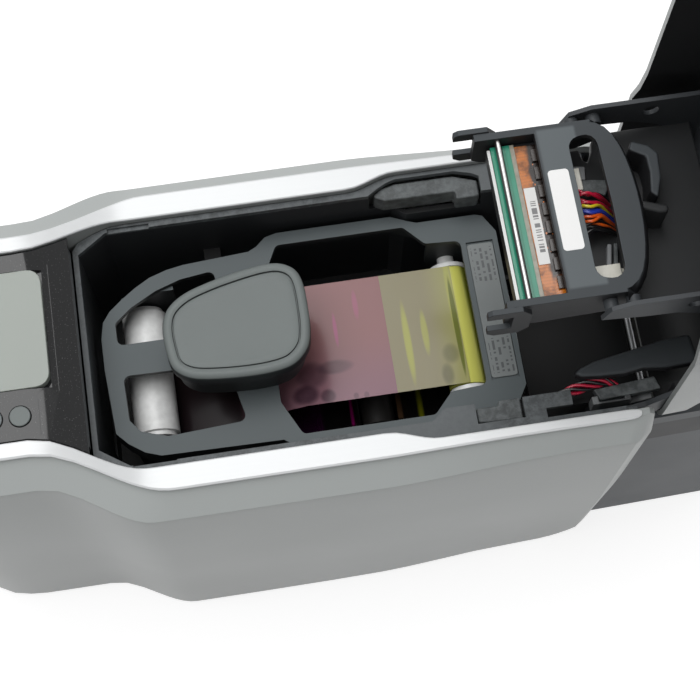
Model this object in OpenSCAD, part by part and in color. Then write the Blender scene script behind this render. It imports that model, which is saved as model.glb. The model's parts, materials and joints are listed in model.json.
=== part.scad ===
// Desktop ID card printer with its lid open, millimetres.
// The front faces -X, +Y is the far side, and the table is at Z = 0.

/* [Body] */
// Length from the front face to the rear face
body_len = 430; // [426:1:440]
// Height of the bright rims above the table
rim_z = 225; // [223:1:228]
// Half width of the side faces at their widest
face_half = 79.8; // [78.5:0.1:82]
// Wall of the side panels
panel_wall = 3; // [2.5:0.1:3.5]
// Wall of the dark housings
housing_wall = 2.5; // [2:0.1:3]
// Height of the rubber feet
foot_h = 5; // [4:0.5:6]
// How far the rims rise towards the display
front_rise = 17; // [15:0.5:19]

/* [Cartridge bay] */
// Front wall of the bay, measured back from the middle
bay_front = -117; // [-119:0.5:-116]
// Half width of the wide front part of the bay
bay_half = 55; // [54.5:0.1:55.5]
// Half width of the narrower rear part of the bay
bay_rear_half = 50; // [49:0.5:50.5]
// Height of the ledges around the bay
deck_z = 221; // [220:0.5:221.5]
// Thickness of the ledges
deck_t = 3; // [2.5:0.1:3.5]
// Height of the bay's floor
floor_z = 128; // [126:0.5:129]

/* [Ribbon cartridge] */
// Top of the cartridge frame
frame_top = 200; // [199:0.5:202]
// Thickness of the frame's top plate
frame_t = 3; // [2.5:0.1:3.5]
// Depth of the frame's side walls
frame_depth = 14; // [12:0.5:16]
// Width of the print film
film_w = 58.4; // [57.6:0.2:59]
// Thickness of the film as drawn
film_t = 0.4; // [0.3:0.05:0.5]
// Radius of the wound supply of film
supply_r = 9; // [8:0.1:9.4]
// Radius of the take-up core
takeup_r = 10.5; // [9.5:0.1:10.6]
// Top of the handle pad
pad_top = 228; // [226:0.5:230]

/* [Print head and lid] */
// Lid hinge, distance behind the middle
hinge_x = 107; // [106:0.5:108]
// Lid hinge, height above the table
hinge_z = 197; // [196:0.5:198]
// Radius of the lid's hinge pins
hinge_r = 3; // [2.5:0.1:3.5]
// Radial running clearance of pins and shafts
run_gap = 0.06; // [0.03:0.01:0.09]
// Height of the closed lid's crown
lid_crown = 267; // [262:0.5:272]
// Wall of the lid
lid_wall = 2.5; // [2:0.1:3]
// Gap between the lid and the rims when it is closed
lid_gap = 1.2; // [1:0.1:1.6]
// Height of the open print head bracket's upper face
bracket_z = 304.5; // [304:0.1:305]
// Radius of the rubber platen roller
platen_r = 8; // [7.5:0.1:8.2]
// Radius of the roller shafts
shaft_r = 2.5; // [2:0.1:2.8]

/* [Controls] */
// Radius of the panel buttons
button_r = 4.5; // [4:0.1:5]
// Travel of the buttons
button_travel = 1.2; // [0.8:0.1:1.5]

/* [Hidden] */
$fn = 48;

front_x = -body_len / 2;
rear_x = body_len / 2;
bay_split = 32;
bay_wall = housing_wall;
bay_rear = 148;
bulkhead_x = bay_front - bay_wall;
panel_rear = 125.7;
panel_front = front_x + 9;
trim_t = 1.5;
flange_t = 3;
panel_gap = 0.1;
deck_gap = 0.35;
deck_rear = 113;
card_z = 151;
guide_top = card_z - 2;
film_z = frame_top - frame_depth;
supply_x = 52;
supply_z = film_z - film_t - 0.3 - supply_r;
takeup_x = -94.5;
takeup_z = film_z - 0.5 - takeup_r;
spindle_r = 4;
head_x = 10;
strand_r = 0.8;
strand_pitch = 1.9;
feed_x = -70;
platen_z = card_z - 0.4 - platen_r;
bearing_r = 4.6;
fork_gap = 1.3;
fork_z = hinge_x + hinge_z - head_x;
arm_y = 34.8;
carrier_in = 42;
carrier_t = 2;
carrier_seat = 250;
carrier_x = hinge_x + carrier_seat - hinge_z - 3;
lid_button_x = -60;
rear_bar_x = 131;
rear_bar_z = 181;
rear_bar_r = 2.2;
rear_roller_x = 140.5;
rear_roller_z = 170;
latch_far_x = 26;
latch_near_x = 48;
latch_low = 206;
clip_x = 100;
output_floor = 64;
output_top = 134;
input_floor = 143;
input_top = 207;
door_half = 31;
door_z = 146;
door_top = 204;
panel_flat = rim_z + front_rise - 1.5;
screen_x0 = -174;
screen_x1 = -132;
screen_y0 = -20;
screen_y1 = 34;
button_xs = [-146, -158, -170];
button_y = -32;
power_r = 5;
lid_front = -112;
lid_rear = 112;

// ---- Shape helpers ----

// Eases from 0 to 1
function smooth(u) = let (t = min(1, max(0, u))) t * t * (3 - 2 * t);

// Depth of a rounded corner of radius r at a share u of its length
function round_in(u, r) = let (t = min(1, max(0, u))) r * (1 - sqrt(1 - t * t));

function unit(v) = v / norm(v);

// Points of one filleted corner b between a and c
function corner(a, b, c, r, n) =
    let (
        u = unit(a - b),
        w = unit(c - b),
        half = acos(max(-1, min(1, u * w))) / 2,
        centre = b + unit(u + w) * r / sin(half),
        p = b + u * r / tan(half) - centre,
        q = b + w * r / tan(half) - centre,
        a0 = atan2(p.y, p.x),
        d = atan2(q.y, q.x) - a0,
        sweep = d > 180 ? d - 360 : d < -180 ? d + 360 : d
    )
    [for (i = [0:n]) centre + r * [cos(a0 + sweep * i / n), sin(a0 + sweep * i / n)]];

// Outline with every corner filleted
function rounded(pts, r, n = 4) =
    let (m = len(pts))
    [for (i = [0:m - 1]) each corner(pts[(i + m - 1) % m], pts[i], pts[(i + 1) % m], r, n)];

function box_outline(x0, x1, y0, y1) = [[x0, y0], [x1, y0], [x1, y1], [x0, y1]];

// Solid through sections that all have the same number of points
module loft(sections) {
    n = len(sections[0]);
    m = len(sections);
    points = [for (s = sections) each s];
    sides = [for (i = [0:m - 2], j = [0:n - 1]) let (a = i * n + j, b = i * n + (j + 1) % n)
        each [[a, a + n, b + n], [a, b + n, b]]];
    first = [for (j = [0:n - 1]) j];
    last = [for (j = [n - 1:-1:0]) (m - 1) * n + j];
    polyhedron(points, concat(sides, [first, last]), convexity = 8);
}

// Block from one corner to the other
module block(low, high) {
    translate(low) cube(high - low);
}

// Cylinder along Y between y0 and y1
module rod_y(x, z, y0, y1, r) {
    translate([x, y0, z]) rotate([-90, 0, 0]) cylinder(r = r, h = y1 - y0);
}

// Outline in X and Z, extruded along Y between y0 and y1
module side_plate(points, y0, y1) {
    translate([0, y1, 0]) rotate([90, 0, 0]) linear_extrude(y1 - y0) polygon(points);
}

// Copies of the children on both sides of the middle plane
module both_sides() {
    children();
    mirror([0, 1, 0]) children();
}

// Turns a closed lid part to its open place
module lid_open() {
    translate([hinge_x, 0, hinge_z]) rotate([0, 90, 0]) translate([-hinge_x, 0, -hinge_z]) children();
}

// Smooth curve through the points of a route
function spline(p, n) = [
    for (i = [0:len(p) - 2], k = [0:n - 1])
        let (
            t = k / n,
            a = p[max(0, i - 1)],
            b = p[i],
            c = p[i + 1],
            d = p[min(len(p) - 1, i + 2)]
        )
        0.5 * (2 * b + t * (c - a) + t * t * (2 * a - 5 * b + 4 * c - d) + t * t * t * (3 * b - a - 3 * c + d)),
    p[len(p) - 1]
];

// Round wire along a route
module wire(route, r) {
    path = spline(route, 2);
    m = len(path);
    rings = [
        for (i = [0:m - 1])
            let (
                t = unit(path[min(m - 1, i + 1)] - path[max(0, i - 1)]),
                side = unit(cross(t, abs(t.z) > 0.9 ? [0, 1, 0] : [0, 0, 1])),
                up = cross(side, t)
            )
            [for (k = [0:7]) path[i] + r * (cos(45 * k) * side + sin(45 * k) * up)]
    ];
    loft(rings);
}

// ---- Outer form, as functions of the distance x along the body ----

nose_len = 30;
nose_drop = 26;
function nose(x) = round_in((front_x + 9 + nose_len - x) / (nose_len + 1), 1);
function rim_top(x) = rim_z + front_rise * smooth((-93 - x) / 52) - nose_drop * nose(x)
    - (x > 118 ? 14 * (1 - pow(1 - pow(min(1, (x - 118) / 7.8), 3), 1 / 3)) : 0);
function rear_round(x) = 7 * pow(max(0, (x - 115.7) / 10), 1.25);
function rim_out(x) = face_half - 10.5 - 1.1 * smooth(x / 70) - 19 * smooth((-86 - x) / 56) - 0.3 * rear_round(x);
function rim_in(x) = 58.2 + 5.5 * smooth((x - 7) / 23) - 15 * smooth((-97 - x) / 46);
function face_w(x) = face_half - 3.8 * smooth(x / 90) - 17.3 * smooth((-97 - x) / 45) - rear_round(x)
    - 10 * nose(x);
function foot_w(x) = face_w(x) - 2.5 - 2 * smooth((x + 57) / 170);
function panel_foot(x) = foot_h + round_in((x - 90) / 35.9, 60);

trim_stations = [
    for (i = [0:9]) panel_front + i * (bay_front - panel_front) / 10,
    for (i = [0:8]) bay_front + i * 4,
    -60, -20, 6, 11, 15, 19, 23, 27, 31, 60, 90, 112, 114.5, 116.5, 117.6, 118
];
panel_stations = concat(
    [for (x = trim_stations) if (x < 45) x],
    [60, 90, 97, 103, 108, 112, 115.7, 119, 122, 125.4]
);

// Height where the lower wall of a side panel meets the upper one
function belt(x) = rim_top(x) - bevel(x) - 0.55 * (rim_top(x) - panel_foot(x) - bevel(x));
function bevel(x) = min(13, 0.3 * (rim_top(x) - panel_foot(x)));
function rim_edge(x) = min(rim_out(x), face_w(x) - 1);
function flange_edge(x) = min(rim_in(x), rim_edge(x) - 3.6);

// Inner face of the far side panel at x, as Y and Z from the foot up to the flange
function panel_inner(x) = [
    [foot_w(x) - panel_wall, panel_foot(x)],
    [face_w(x) - panel_wall - 0.6, belt(x)],
    [face_w(x) - panel_wall - 0.5, rim_top(x) - bevel(x) - 2],
    [max(flange_edge(x) + 1.7, rim_edge(x) - 2.5), rim_top(x) - trim_t - flange_t]
];

// Place of the inner face at height z, below the belt
function panel_inner_at(x, z) =
    let (p = panel_inner(x))
    p[0].x + (p[1].x - p[0].x) * (z - p[0].y) / (p[1].y - p[0].y);

// Section of the far side panel at x
function panel_section(x) =
    let (
        top = rim_top(x),
        out = rim_edge(x) - 0.8,
        flange = flange_edge(x),
        lip = min(deck_z - deck_t - 1, top - 6),
        inner = panel_inner(x)
    )
    [
        [x, foot_w(x), panel_foot(x)],
        [x, face_w(x) - 0.6, belt(x)],
        [x, face_w(x), top - bevel(x) - 3],
        [x, face_w(x) - 0.5, top - bevel(x)],
        [x, out, top - trim_t - 0.9],
        [x, out, top - trim_t],
        [x, flange, top - trim_t],
        [x, flange, lip],
        [x, flange + 1.5, lip],
        [x, flange + 1.5, inner[3].y],
        for (i = [3:-1:0]) [x, inner[i].x, inner[i].y]
    ];

// Section of the bright trim on the far rim
function trim_section(x) =
    let (
        top = rim_top(x),
        end = round_in((x - 112) / 6.1, 1.5),
        out = rim_out(x) - end,
        inner = min(rim_in(x), rim_out(x) - 3.6) + end
    )
    [
        [x, out, top - trim_t],
        [x, out, top - 0.6],
        [x, out - 0.8, top],
        [x, inner + 0.5, top],
        [x, inner, top - 0.4],
        [x, inner, top - trim_t]
    ];

// ---- Base: housings, panels and trims ----

// Plan outline of the bay, moved outwards by w
function bay_plan(w) =
    let (
        half = [
            [bay_front - w, bay_half - 9 + 0.6 * w], [bay_front + 13 - 0.5 * w, bay_half + w],
            [bay_split - 4, bay_half + w], [bay_split + 2, bay_rear_half + w],
            [116, bay_rear_half + w], [bay_rear + w, bay_rear_half - 10 + w]
        ]
    )
    concat(half, [for (i = [len(half) - 1:-1:0]) [half[i].x, -half[i].y]]);

chassis_half = bay_rear_half + 6;
arm_in = chassis_half + 0.9;
arm_out = arm_in + 2.5;
chassis_nose = min(chassis_half, foot_w(-176) - panel_wall - 0.9);
chassis_top = floor_z - bay_wall;

module chassis_plan(w) {
    polygon([
        [panel_front + w, -46 + w], [-176, -chassis_nose + w], [121 - w, -chassis_half + w],
        [121 - w, chassis_half - w], [-176, chassis_nose - w], [panel_front + w, 46 - w]
    ]);
}

// Brackets of the chassis that carry the side panels
module panel_brackets() {
    low = 60;
    high = 78;
    thick = 4;
    both_sides() for (x = [-160, -70, 10, 70])
        translate([x, 0, 0]) rotate([90, 0, 90]) linear_extrude(thick) polygon([
            [chassis_half - 1, low], [panel_inner_at(x + thick, low) - panel_gap, low],
            [panel_inner_at(x + thick, high) - panel_gap, high], [chassis_half - 1, high]
        ]);
}

module base_housing() {
    color([0.2, 0.2, 0.21]) panel_brackets();
    color([0.2, 0.2, 0.21])
    difference() {
        translate([0, 0, foot_h]) linear_extrude(chassis_top - foot_h) chassis_plan(0);
        translate([0, 0, foot_h + 3]) linear_extrude(chassis_top) chassis_plan(housing_wall);
        block([panel_front - 1, -36, foot_h + 3], [-190, 36, chassis_top + 1]);
    }
}

module side_panel() {
    color([0.66, 0.68, 0.67]) loft([for (x = panel_stations) panel_section(x)]);
}

module side_panel_far() { side_panel(); }

module side_panel_near() { mirror([0, 1, 0]) side_panel(); }

module rim_trim() {
    color([0.86, 0.87, 0.87]) loft([for (x = trim_stations) trim_section(x)]);
}

module rim_trim_far() { rim_trim(); }

module rim_trim_near() { mirror([0, 1, 0]) rim_trim(); }

// Walls and floor of the cartridge bay
module inner_tub() {
    low_rear = 186;
    color([0.13, 0.13, 0.14])
    difference() {
        union() {
            difference() {
                translate([0, 0, chassis_top]) linear_extrude(deck_z - deck_t - chassis_top) polygon(bay_plan(bay_wall));
                translate([0, 0, floor_z]) linear_extrude(deck_z) polygon(bay_plan(0));
                block([118, -70, low_rear], [170, 70, deck_z]);
            }
            both_sides() rod_y(hinge_x, hinge_z, bay_rear_half + 0.5, chassis_half + 0.6, 7);
        }
        // Bores for the hinge pins, the rear bar and the rear roller
        rod_y(hinge_x, hinge_z, -70, 70, hinge_r + 0.02);
        rod_y(rear_bar_x, rear_bar_z, -70, 70, rear_bar_r + 0.02);
        rod_y(rear_roller_x, rear_roller_z, -70, 70, shaft_r + run_gap);
        // Recesses that the latch blocks sit in
        block([latch_far_x - 8.5, bay_half - 6, latch_low], [latch_far_x + 43, bay_half + 4, deck_z]);
        block([latch_near_x - 1, -bay_half - 4, latch_low], [latch_near_x + 21, -bay_rear_half + 1, deck_z]);
        // Dip that the latch wires cross
        block([latch_near_x + 20, -bay_half, 205], [118.5, -bay_rear_half + 6, deck_z]);
        // Card slot from the hopper
        block([bulkhead_x - 1, -29, card_z - 6], [bay_front + 1, 29, card_z + 8]);
    }
    // Steps that the cartridge rests on
    color([0.13, 0.13, 0.14]) both_sides() {
        block([-62, 43.5, film_z - 6], [-54, bay_half, film_z]);
        block([60, bay_rear_half - 6, film_z - 6], [68, bay_rear_half, film_z]);
    }
}

// Ledges between the bay and the rims
module inner_deck() {
    far = concat(
        [for (x = trim_stations) if (x >= bay_front && x < deck_rear) [x, rim_in(x) - deck_gap]],
        [[deck_rear, rim_in(deck_rear) - deck_gap]]
    );
    color([0.25, 0.26, 0.27])
    difference() {
        union() {
            translate([0, 0, deck_z - deck_t]) linear_extrude(deck_t)
                polygon(concat([[bulkhead_x, 48]], far, [for (i = [len(far) - 1:-1:0]) [far[i].x, -far[i].y]],
                    [[bulkhead_x, -48]]));
            // Lower steps that the lid's rear edge swings over
            both_sides() block([deck_rear - 2, bay_rear_half + bay_wall + 0.1, deck_z - deck_t - 2.6],
                [118, rim_in(118) - deck_gap - 0.2, deck_z - deck_t + 0.4]);
        }
        translate([0, 0, deck_z - deck_t - 1]) linear_extrude(deck_t + 2) polygon(bay_plan(0));
        // Slots that the lid's arms swing through
        both_sides() block([78, arm_in - 0.3, 0], [120, arm_out + 1.4, deck_z + 1]);
        // Recesses of the latch blocks
        translate([latch_far_x, 0, 0]) linear_extrude(deck_z + 1) polygon([[-9, 55.3], [-4, 58.4], [0, 60.4], [4, 61.6],
            [31.5, 61.6], [39.5, 59.4], [42.6, 57.6], [42.6, bay_half - 6], [-9, bay_half - 6]]);
        block([latch_near_x - 0.6, -59.2, 0], [latch_near_x + 20.6, -bay_rear_half + 1, deck_z + 1]);
        // Seam across the near ledge
        block([112.4, -rim_in(112.4), deck_z - 0.8], [113.2, -arm_out - 2, deck_z + 1]);
        block([90, -arm_in + 0.2, 0], [120, -bay_rear_half + 1, deck_z + 1]);
        // Long notches in the front ledges
        both_sides() block([-103, bay_half - 0.5, deck_z - 1.6], [-84, bay_half + 1.8, deck_z + 1]);
    }
}

module front_bezel() {
    stations = [for (x = trim_stations) if (x < bulkhead_x - 1) x, bulkhead_x - 0.4];
    color([0.05, 0.05, 0.06])
    difference() {
        union() {
            loft([for (x = stations)
                let (w = rim_in(x) - 0.4, z = rim_top(x) - trim_t)
                [[x, w, z - 2.5], [x, w, z - 0.6], [x, w - 0.6, z], [x, -w + 0.6, z], [x, -w, z - 0.6], [x, -w, z - 2.5]]
            ]);
            block([bulkhead_x - 2.4, -46, deck_z - deck_t - 8], [bulkhead_x - 0.4, 46, rim_top(bulkhead_x) - 3]);
            block([screen_x0 - 3, screen_y0 - 2, panel_flat - 6], [screen_x1 + 3, screen_y1 + 3, panel_flat - 3.9]);
            // Switch board that the buttons press
            block([-178, -41, panel_flat - 8.5], [-138, -25, panel_flat - 5.7]);
            for (x = [-178, -140]) block([x, -41, panel_flat - 8], [x + 2, -25, panel_flat - 1]);
        }
        for (x = button_xs) translate([x, button_y, panel_flat - 4]) cylinder(r = button_r + 0.35, h = 60);
        block([screen_x0 - 0.2, screen_y0 - 0.2, panel_flat - 4], [screen_x1 + 0.2, screen_y1 + 0.2, 260]);
    }
}

module screen() {
    color([0.55, 0.6, 0.57])
    translate([0, 0, panel_flat - 4]) linear_extrude(4.4)
        polygon(rounded(box_outline(screen_x0, screen_x1, screen_y0, screen_y1), 6));
}

// Front cover with the openings of both card bays
module front_fascia() {
    color([0.12, 0.12, 0.13])
    difference() {
        translate([0, 0, foot_h]) linear_extrude(rim_top(panel_front) - 2 - foot_h)
            polygon(rounded([[panel_front, -46], [front_x, -44], [front_x, 44], [panel_front, 46]], 4));
        block([front_x - 1, -31, output_floor], [panel_front + 4, 31, output_top]);
        block([front_x - 1, -door_half - 0.4, door_z - 2], [panel_front + 4, door_half + 0.4, door_top + 0.4]);
        rod_y(front_x + 4, door_z + 3.2, -door_half - 4, door_half + 4, 2 + run_gap);
    }
}

// Frame with the input bay above and the output bay below
module hopper_frame() {
    x0 = panel_front;
    x1 = bulkhead_x - 2.4;
    color([0.16, 0.16, 0.17]) {
        both_sides() block([x0, 29.5, foot_h + 3], [x1, 32.5, input_top]);
        block([x0, -29.5, output_floor - 3], [x1, 29.5, output_floor]);
        block([x0, -29.5, input_floor - 3], [x1, 29.5, input_floor]);
        block([x0, -29.5, input_top - 3], [x1, 29.5, input_top]);
        block([x1 - 2, -29.5, output_floor], [x1, 29.5, input_floor - 3]);
        block([x1 - 2, -29.5, input_floor + 7], [x1, 29.5, input_top - 3]);
    }
}

// Wings of the rear housing that close the side panels' rear ends
module panel_ends() {
    x = 121;
    inner = panel_inner(x);
    low = inner[0].y + 3;
    both_sides() translate([x - 1.8, 0, 0]) rotate([90, 0, 90]) linear_extrude(1.8) polygon([
        [chassis_half + panel_gap, low], [panel_inner_at(x, low) - panel_gap, low],
        [inner[1].x - panel_gap, inner[1].y], [inner[2].x - panel_gap, inner[2].y - 1],
        [inner[3].x - 1, deck_z - deck_t - 1.4], [inner[3].x - 1, 190], [chassis_half - 1.5, 184],
        [chassis_half - 1.5, chassis_top + 5], [chassis_half + panel_gap, chassis_top + 5]
    ]);
}

module rear_housing() {
    side = [[121, foot_h], [203, foot_h], [rear_x, 22], [rear_x, 160], [205, 184], [196, 188], [119.9, 188], [119.9, 130], [121, 130]];
    plan = [[119, -chassis_half], [126.4, -chassis_half], [126.4, -60], [200, -58], [rear_x, -50],
        [rear_x, 50], [200, 58], [126.4, 60], [126.4, chassis_half], [119, chassis_half]];
    w = housing_wall;
    color([0.24, 0.25, 0.26]) panel_ends();
    color([0.24, 0.25, 0.26])
    difference() {
        intersection() {
            side_plate(side, -70, 70);
            linear_extrude(200) polygon(plan);
        }
        // Hollow
        intersection() {
            side_plate([[110, foot_h + w], [202, foot_h + w], [rear_x - w, 24], [rear_x - w, 159], [204, 182],
                [196, 188 - w], [110, 188 - w]], -70, 70);
            linear_extrude(200) polygon([[100, -chassis_half + w], [129, -chassis_half + w], [129, -60 + w], [199, -58 + w],
                [rear_x - w, -50 + w], [rear_x - w, 50 - w], [199, 58 - w], [129, 60 - w], [129, chassis_half - w],
                [100, chassis_half - w]]);
        }
        // Room for the rear end of the bay
        translate([0, 0, 100]) linear_extrude(200) polygon([[100, -53], [117, -53], [bay_rear + bay_wall + 0.3, -43],
            [bay_rear + bay_wall + 0.3, 43], [117, 53], [100, 53]]);
        // Cooling slots
        for (y = [-36:6:36]) block([rear_x - 2 * w, y, 96], [rear_x + 1, y + 3, 146]);
        block([rear_x - 2 * w, -42, 30], [rear_x + 1, -14, 52]);
        block([rear_x - 2 * w, 2, 32], [rear_x + 1, 38, 50]);
        translate([rear_x - 2 * w, -28, 74]) rotate([0, 90, 0]) cylinder(r = power_r + 0.35, h = 10);
        // Lock slot
        block([rear_x - 2 * w, 26, 70], [rear_x + 1, 33, 73]);
    }
}

module power_inlet() {
    color([0.08, 0.08, 0.08])
    difference() {
        block([rear_x - 22, -42, 30], [rear_x, -14, 52]);
        block([rear_x - 16, -39.5, 32.5], [rear_x + 1, -16.5, 49.5]);
    }
    color([0.7, 0.7, 0.7])
        for (y = [-34, -28, -22]) block([rear_x - 16, y - 1, 38], [rear_x - 4, y + 1, 44]);
}

module data_sockets() {
    color([0.75, 0.75, 0.76])
    difference() {
        block([rear_x - 18, 2, 32], [rear_x, 38, 50]);
        block([rear_x - 15, 5, 35], [rear_x + 1, 13, 43]);
        block([rear_x - 15, 19, 34], [rear_x + 1, 33, 46]);
    }
}

module feet() {
    color([0.06, 0.06, 0.06])
    for (x = [-180, 100], y = [-44, 44])
        translate([x, y, 0]) {
            cylinder(r = 9, h = foot_h);
        }
}

module screws() {
    color([0.6, 0.6, 0.62])
    for (x = [-150, 60], y = [-40, 40])
        translate([x, y, foot_h - 1.5]) difference() {
            cylinder(r = 3.5, h = 1.5);
            translate([0, 0, -1]) cylinder(r = 1.5, h = 2, $fn = 6);
        }
}

module hinge_pins() {
    color([0.7, 0.7, 0.72])
    both_sides() {
        rod_y(hinge_x, hinge_z, bay_rear_half - 1, arm_out + 0.8, hinge_r);
        rod_y(hinge_x, hinge_z, arm_out + 0.3, arm_out + 1.8, hinge_r + 1.5);
    }
}

module latch_block_far() {
    x = latch_far_x;
    color([0.45, 0.47, 0.47])
    translate([0, 0, latch_low]) linear_extrude(deck_z - 3.5 - latch_low)
        polygon(rounded([[x - 7.5, 56.3], [x - 2, 53.2], [x + 31, 53], [x + 31, 49.3], [x + 42, 49.3], [x + 42, 57.2],
            [x + 31, 61], [x + 4, 61], [x - 2, 59.6]], 1.2));
}

module latch_block_near() {
    x = latch_near_x;
    color([0.45, 0.47, 0.47])
    translate([0, 0, latch_low]) linear_extrude(deck_z - 3.5 - latch_low)
        polygon(rounded([[x, -57.8], [x + 10.5, -58.6], [x + 20, -58.6], [x + 20, -49], [x + 10.5, -49], [x + 10, -51.2],
            [x, -51.2]], 1));
}

// Rails that hold the rollers and the card path plates
module card_guides() {
    color([0.15, 0.15, 0.16])
    difference() {
        both_sides() side_plate([[-104, floor_z], [96, floor_z], [96, 140], [86, guide_top], [-96, guide_top], [-104, 140]], 32, 34.5);
        for (x = [head_x, feed_x]) rod_y(x, platen_z, -50, 50, shaft_r + run_gap);
    }
}

module card_path_plate() {
    z = guide_top - 2.4;
    color([0.03, 0.03, 0.035])
    difference() {
        block([-92, -32, z], [84, 32, guide_top]);
        for (x = [head_x, feed_x]) block([x - platen_r - 1.2, -32.4, 0], [x + platen_r + 1.2, 32.4, guide_top + 1]);
    }
}

module rear_bar() {
    color([0.75, 0.76, 0.76]) rod_y(rear_bar_x, rear_bar_z, -bay_rear_half + 3, bay_rear_half - 3, rear_bar_r);
}

module cable_clip() {
    color([0.5, 0.51, 0.52])
    translate([0, 0, hinge_z + 7]) {
        near = -arm_in + 0.5;
        wall = -bay_rear_half - bay_wall;
        linear_extrude(3) polygon([[clip_x, near], [clip_x, wall], [118.6, wall], [118.6, wall + 4], [128.4, wall + 4],
            [128.4, near + 1.3], [118.6, near]]);
        linear_extrude(10) polygon([[clip_x, near], [clip_x, wall], [clip_x + 3, wall], [clip_x + 3, near + 1.2],
            [clip_x + 14.5, near + 1.2], [clip_x + 14.5, wall], [clip_x + 17.5, wall], [clip_x + 17.5, near]]);
    }
}

// ---- Lid, modelled closed and then opened ----

function lid_half(x) = rim_in(x) - lid_gap - 8 * round_in((x - 100) / 12.2, 1);
function lid_foot(x) = rim_top(x) - 3;
function lid_top(x) = lid_foot(x) + (lid_crown - rim_z + 3) * lid_rise(x, lid_rear + 0.7);
function lid_rise(x, reach) = pow(1 - pow(min(1, abs(x) / reach), 2.6), 1 / 2.6);

// Arch across the lid at x
function lid_section(x, foot, w, h) = [
    for (i = [0:16])
        let (a = 180 * i / 16, c = cos(a), s = sin(a))
        [x, w * sign(c) * pow(abs(c), 0.45), foot + h * pow(s, 0.5)]
];

module lid_dome(shrink, extra) {
    reach = lid_rear - shrink;
    n = 22;
    loft([for (i = [0:n])
        let (
            x = -reach * cos(180 * i / n),
            h = (lid_crown - rim_z + 3 - shrink) * lid_rise(x, reach + 0.7) + extra
        )
        lid_section(x, lid_foot(x) - extra, lid_half(x) - shrink, h)
    ]);
}

module lid_shell() {
    top = lid_top(lid_button_x);
    color([0.66, 0.68, 0.67]) lid_open() {
        difference() {
            union() {
                difference() {
                    lid_dome(0, 0);
                    lid_dome(lid_wall, 0.5);
                }
                translate([lid_button_x, 0, top - 13]) cylinder(r = 12, h = 11);
            }
            translate([lid_button_x, 0, top - 8]) cylinder(r = 8.4, h = 20);
            translate([lid_button_x, 0, top - 11]) cylinder(r = 9.8, h = 3.5);
        }
        // Posts of the head carrier
        for (x = [40, -14], y = [-32, 32])
            translate([x, y, carrier_seat]) cylinder(r = 4, h = lid_crown - 3.2 - carrier_seat);
        // Ribs that the hinge arms are fixed to
        both_sides() block([84, arm_in - 4, 226], [97, arm_in, 241.5]);
    }
}

module lid_hinge_arms() {
    side = rounded([[hinge_x - 7.5, hinge_z - 7.5], [hinge_x + 7.5, hinge_z - 7.5], [hinge_x + 7.5, hinge_z + 6],
        [hinge_x + 1, 218], [98, 225], [98, 232], [83, 232], [83, 224], [94, 214], [hinge_x - 7.5, hinge_z + 5]], 3);
    color([0.2, 0.2, 0.21]) lid_open() difference() {
        both_sides() side_plate(side, arm_in, arm_out);
        rod_y(hinge_x, hinge_z, -70, 70, hinge_r + run_gap);
    }
}

// Sprung release button in the lid's crown
module lid_button() {
    color([0.3, 0.31, 0.32]) lid_open() {
        translate([lid_button_x, 0, lid_top(lid_button_x) - 9.5]) cylinder(r = 8, h = 9.5);
        translate([lid_button_x, 0, lid_top(lid_button_x) - 9.5]) cylinder(r = 9.4, h = 2);
    }
}

// ---- Print head, modelled with the lid open ----

module head_carrier() {
    side = [[94, 292], [97, 301], [106, bracket_z], [carrier_x, bracket_z], [carrier_x, 242], [151, 242],
        [147, 268], [138, 282], [126, 288], [112, 289]];
    color([0.2, 0.2, 0.21]) {
        both_sides() {
            difference() {
                side_plate(side, carrier_in, carrier_in + carrier_t);
                rod_y(132, 296, 0, 60, 3.4);
            }
            rod_y(98, 297, arm_y + 3.2, carrier_in, 3);
            rod_y(107, 298, arm_y + 3.2, carrier_in, 3);
        }
        difference() {
            block([carrier_x, -carrier_in - carrier_t, 242], [hinge_x + carrier_seat - hinge_z, carrier_in + carrier_t, 330]);
            block([carrier_x - 1, -20, 262], [carrier_x + 10, 20, 272]);
        }
    }
}

// Frame with the forked hooks, the finger slot and the curved grip bar
module head_bracket() {
    plate = concat(
        [[80.5, -arm_y - 2.8], [100, -arm_y - 2.8]],
        [for (a = [-78:12:78]) [99 + 17.6 * pow(cos(a), 0.6), 37 * sin(a)]],
        [[100, arm_y + 2.8], [80.5, arm_y + 2.8]]
    );
    slot = rounded([[93.4, -30], [105, -32.5], [105.6, 0], [105, 32.5], [93.4, 30]], 5);
    arm = [[56, bracket_z], [104, bracket_z], [108, 300], [108, 290], [100, 285], [70, 283], [60, 284], [56, 287]];
    fork_in = fork_z - bearing_r - fork_gap;
    fork_out = fork_z + bearing_r + fork_gap;
    fork_end = platen_z + bearing_r + fork_gap - hinge_z + hinge_x;
    color([0.3, 0.32, 0.33]) {
        difference() {
            translate([0, 0, bracket_z - 3]) linear_extrude(3) polygon(plate);
            translate([0, 0, bracket_z - 4]) linear_extrude(5) polygon(slot);
        }
        both_sides() {
            side_plate(arm, arm_y, arm_y + 3.2);
            side_plate([[48, fork_out], [48, 304], [50, 305.5], [62, 305.5], [66, 300], [66, 286], [62, 281.5], [52, 281.5],
                [49, 284], [49, fork_in], [fork_end, fork_in], [fork_end, fork_out]], arm_y + 3.2, arm_y + 5.6);
        }
    }
}

module head_heat_sink() {
    color([0.2, 0.2, 0.21]) difference() {
        block([63.5, -arm_y, 289.5], [86, arm_y, 297]);
        for (x = [67:4:83]) block([x, -arm_y + 3, 289], [x + 2, arm_y - 3, 293]);
    }
}

module head_board() {
    color([0.2, 0.62, 0.5]) block([62.6, -34, 297], [72.4, 34, 298.8]);
}

module head_edge_rail() {
    color([0.8, 0.8, 0.78]) block([61, -33, 292], [62.6, 33, 298.8]);
}

module head_guard_rod() {
    color([0.85, 0.85, 0.85]) rod_y(65.7, 301.4, -arm_y, arm_y, 1.3);
}

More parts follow.
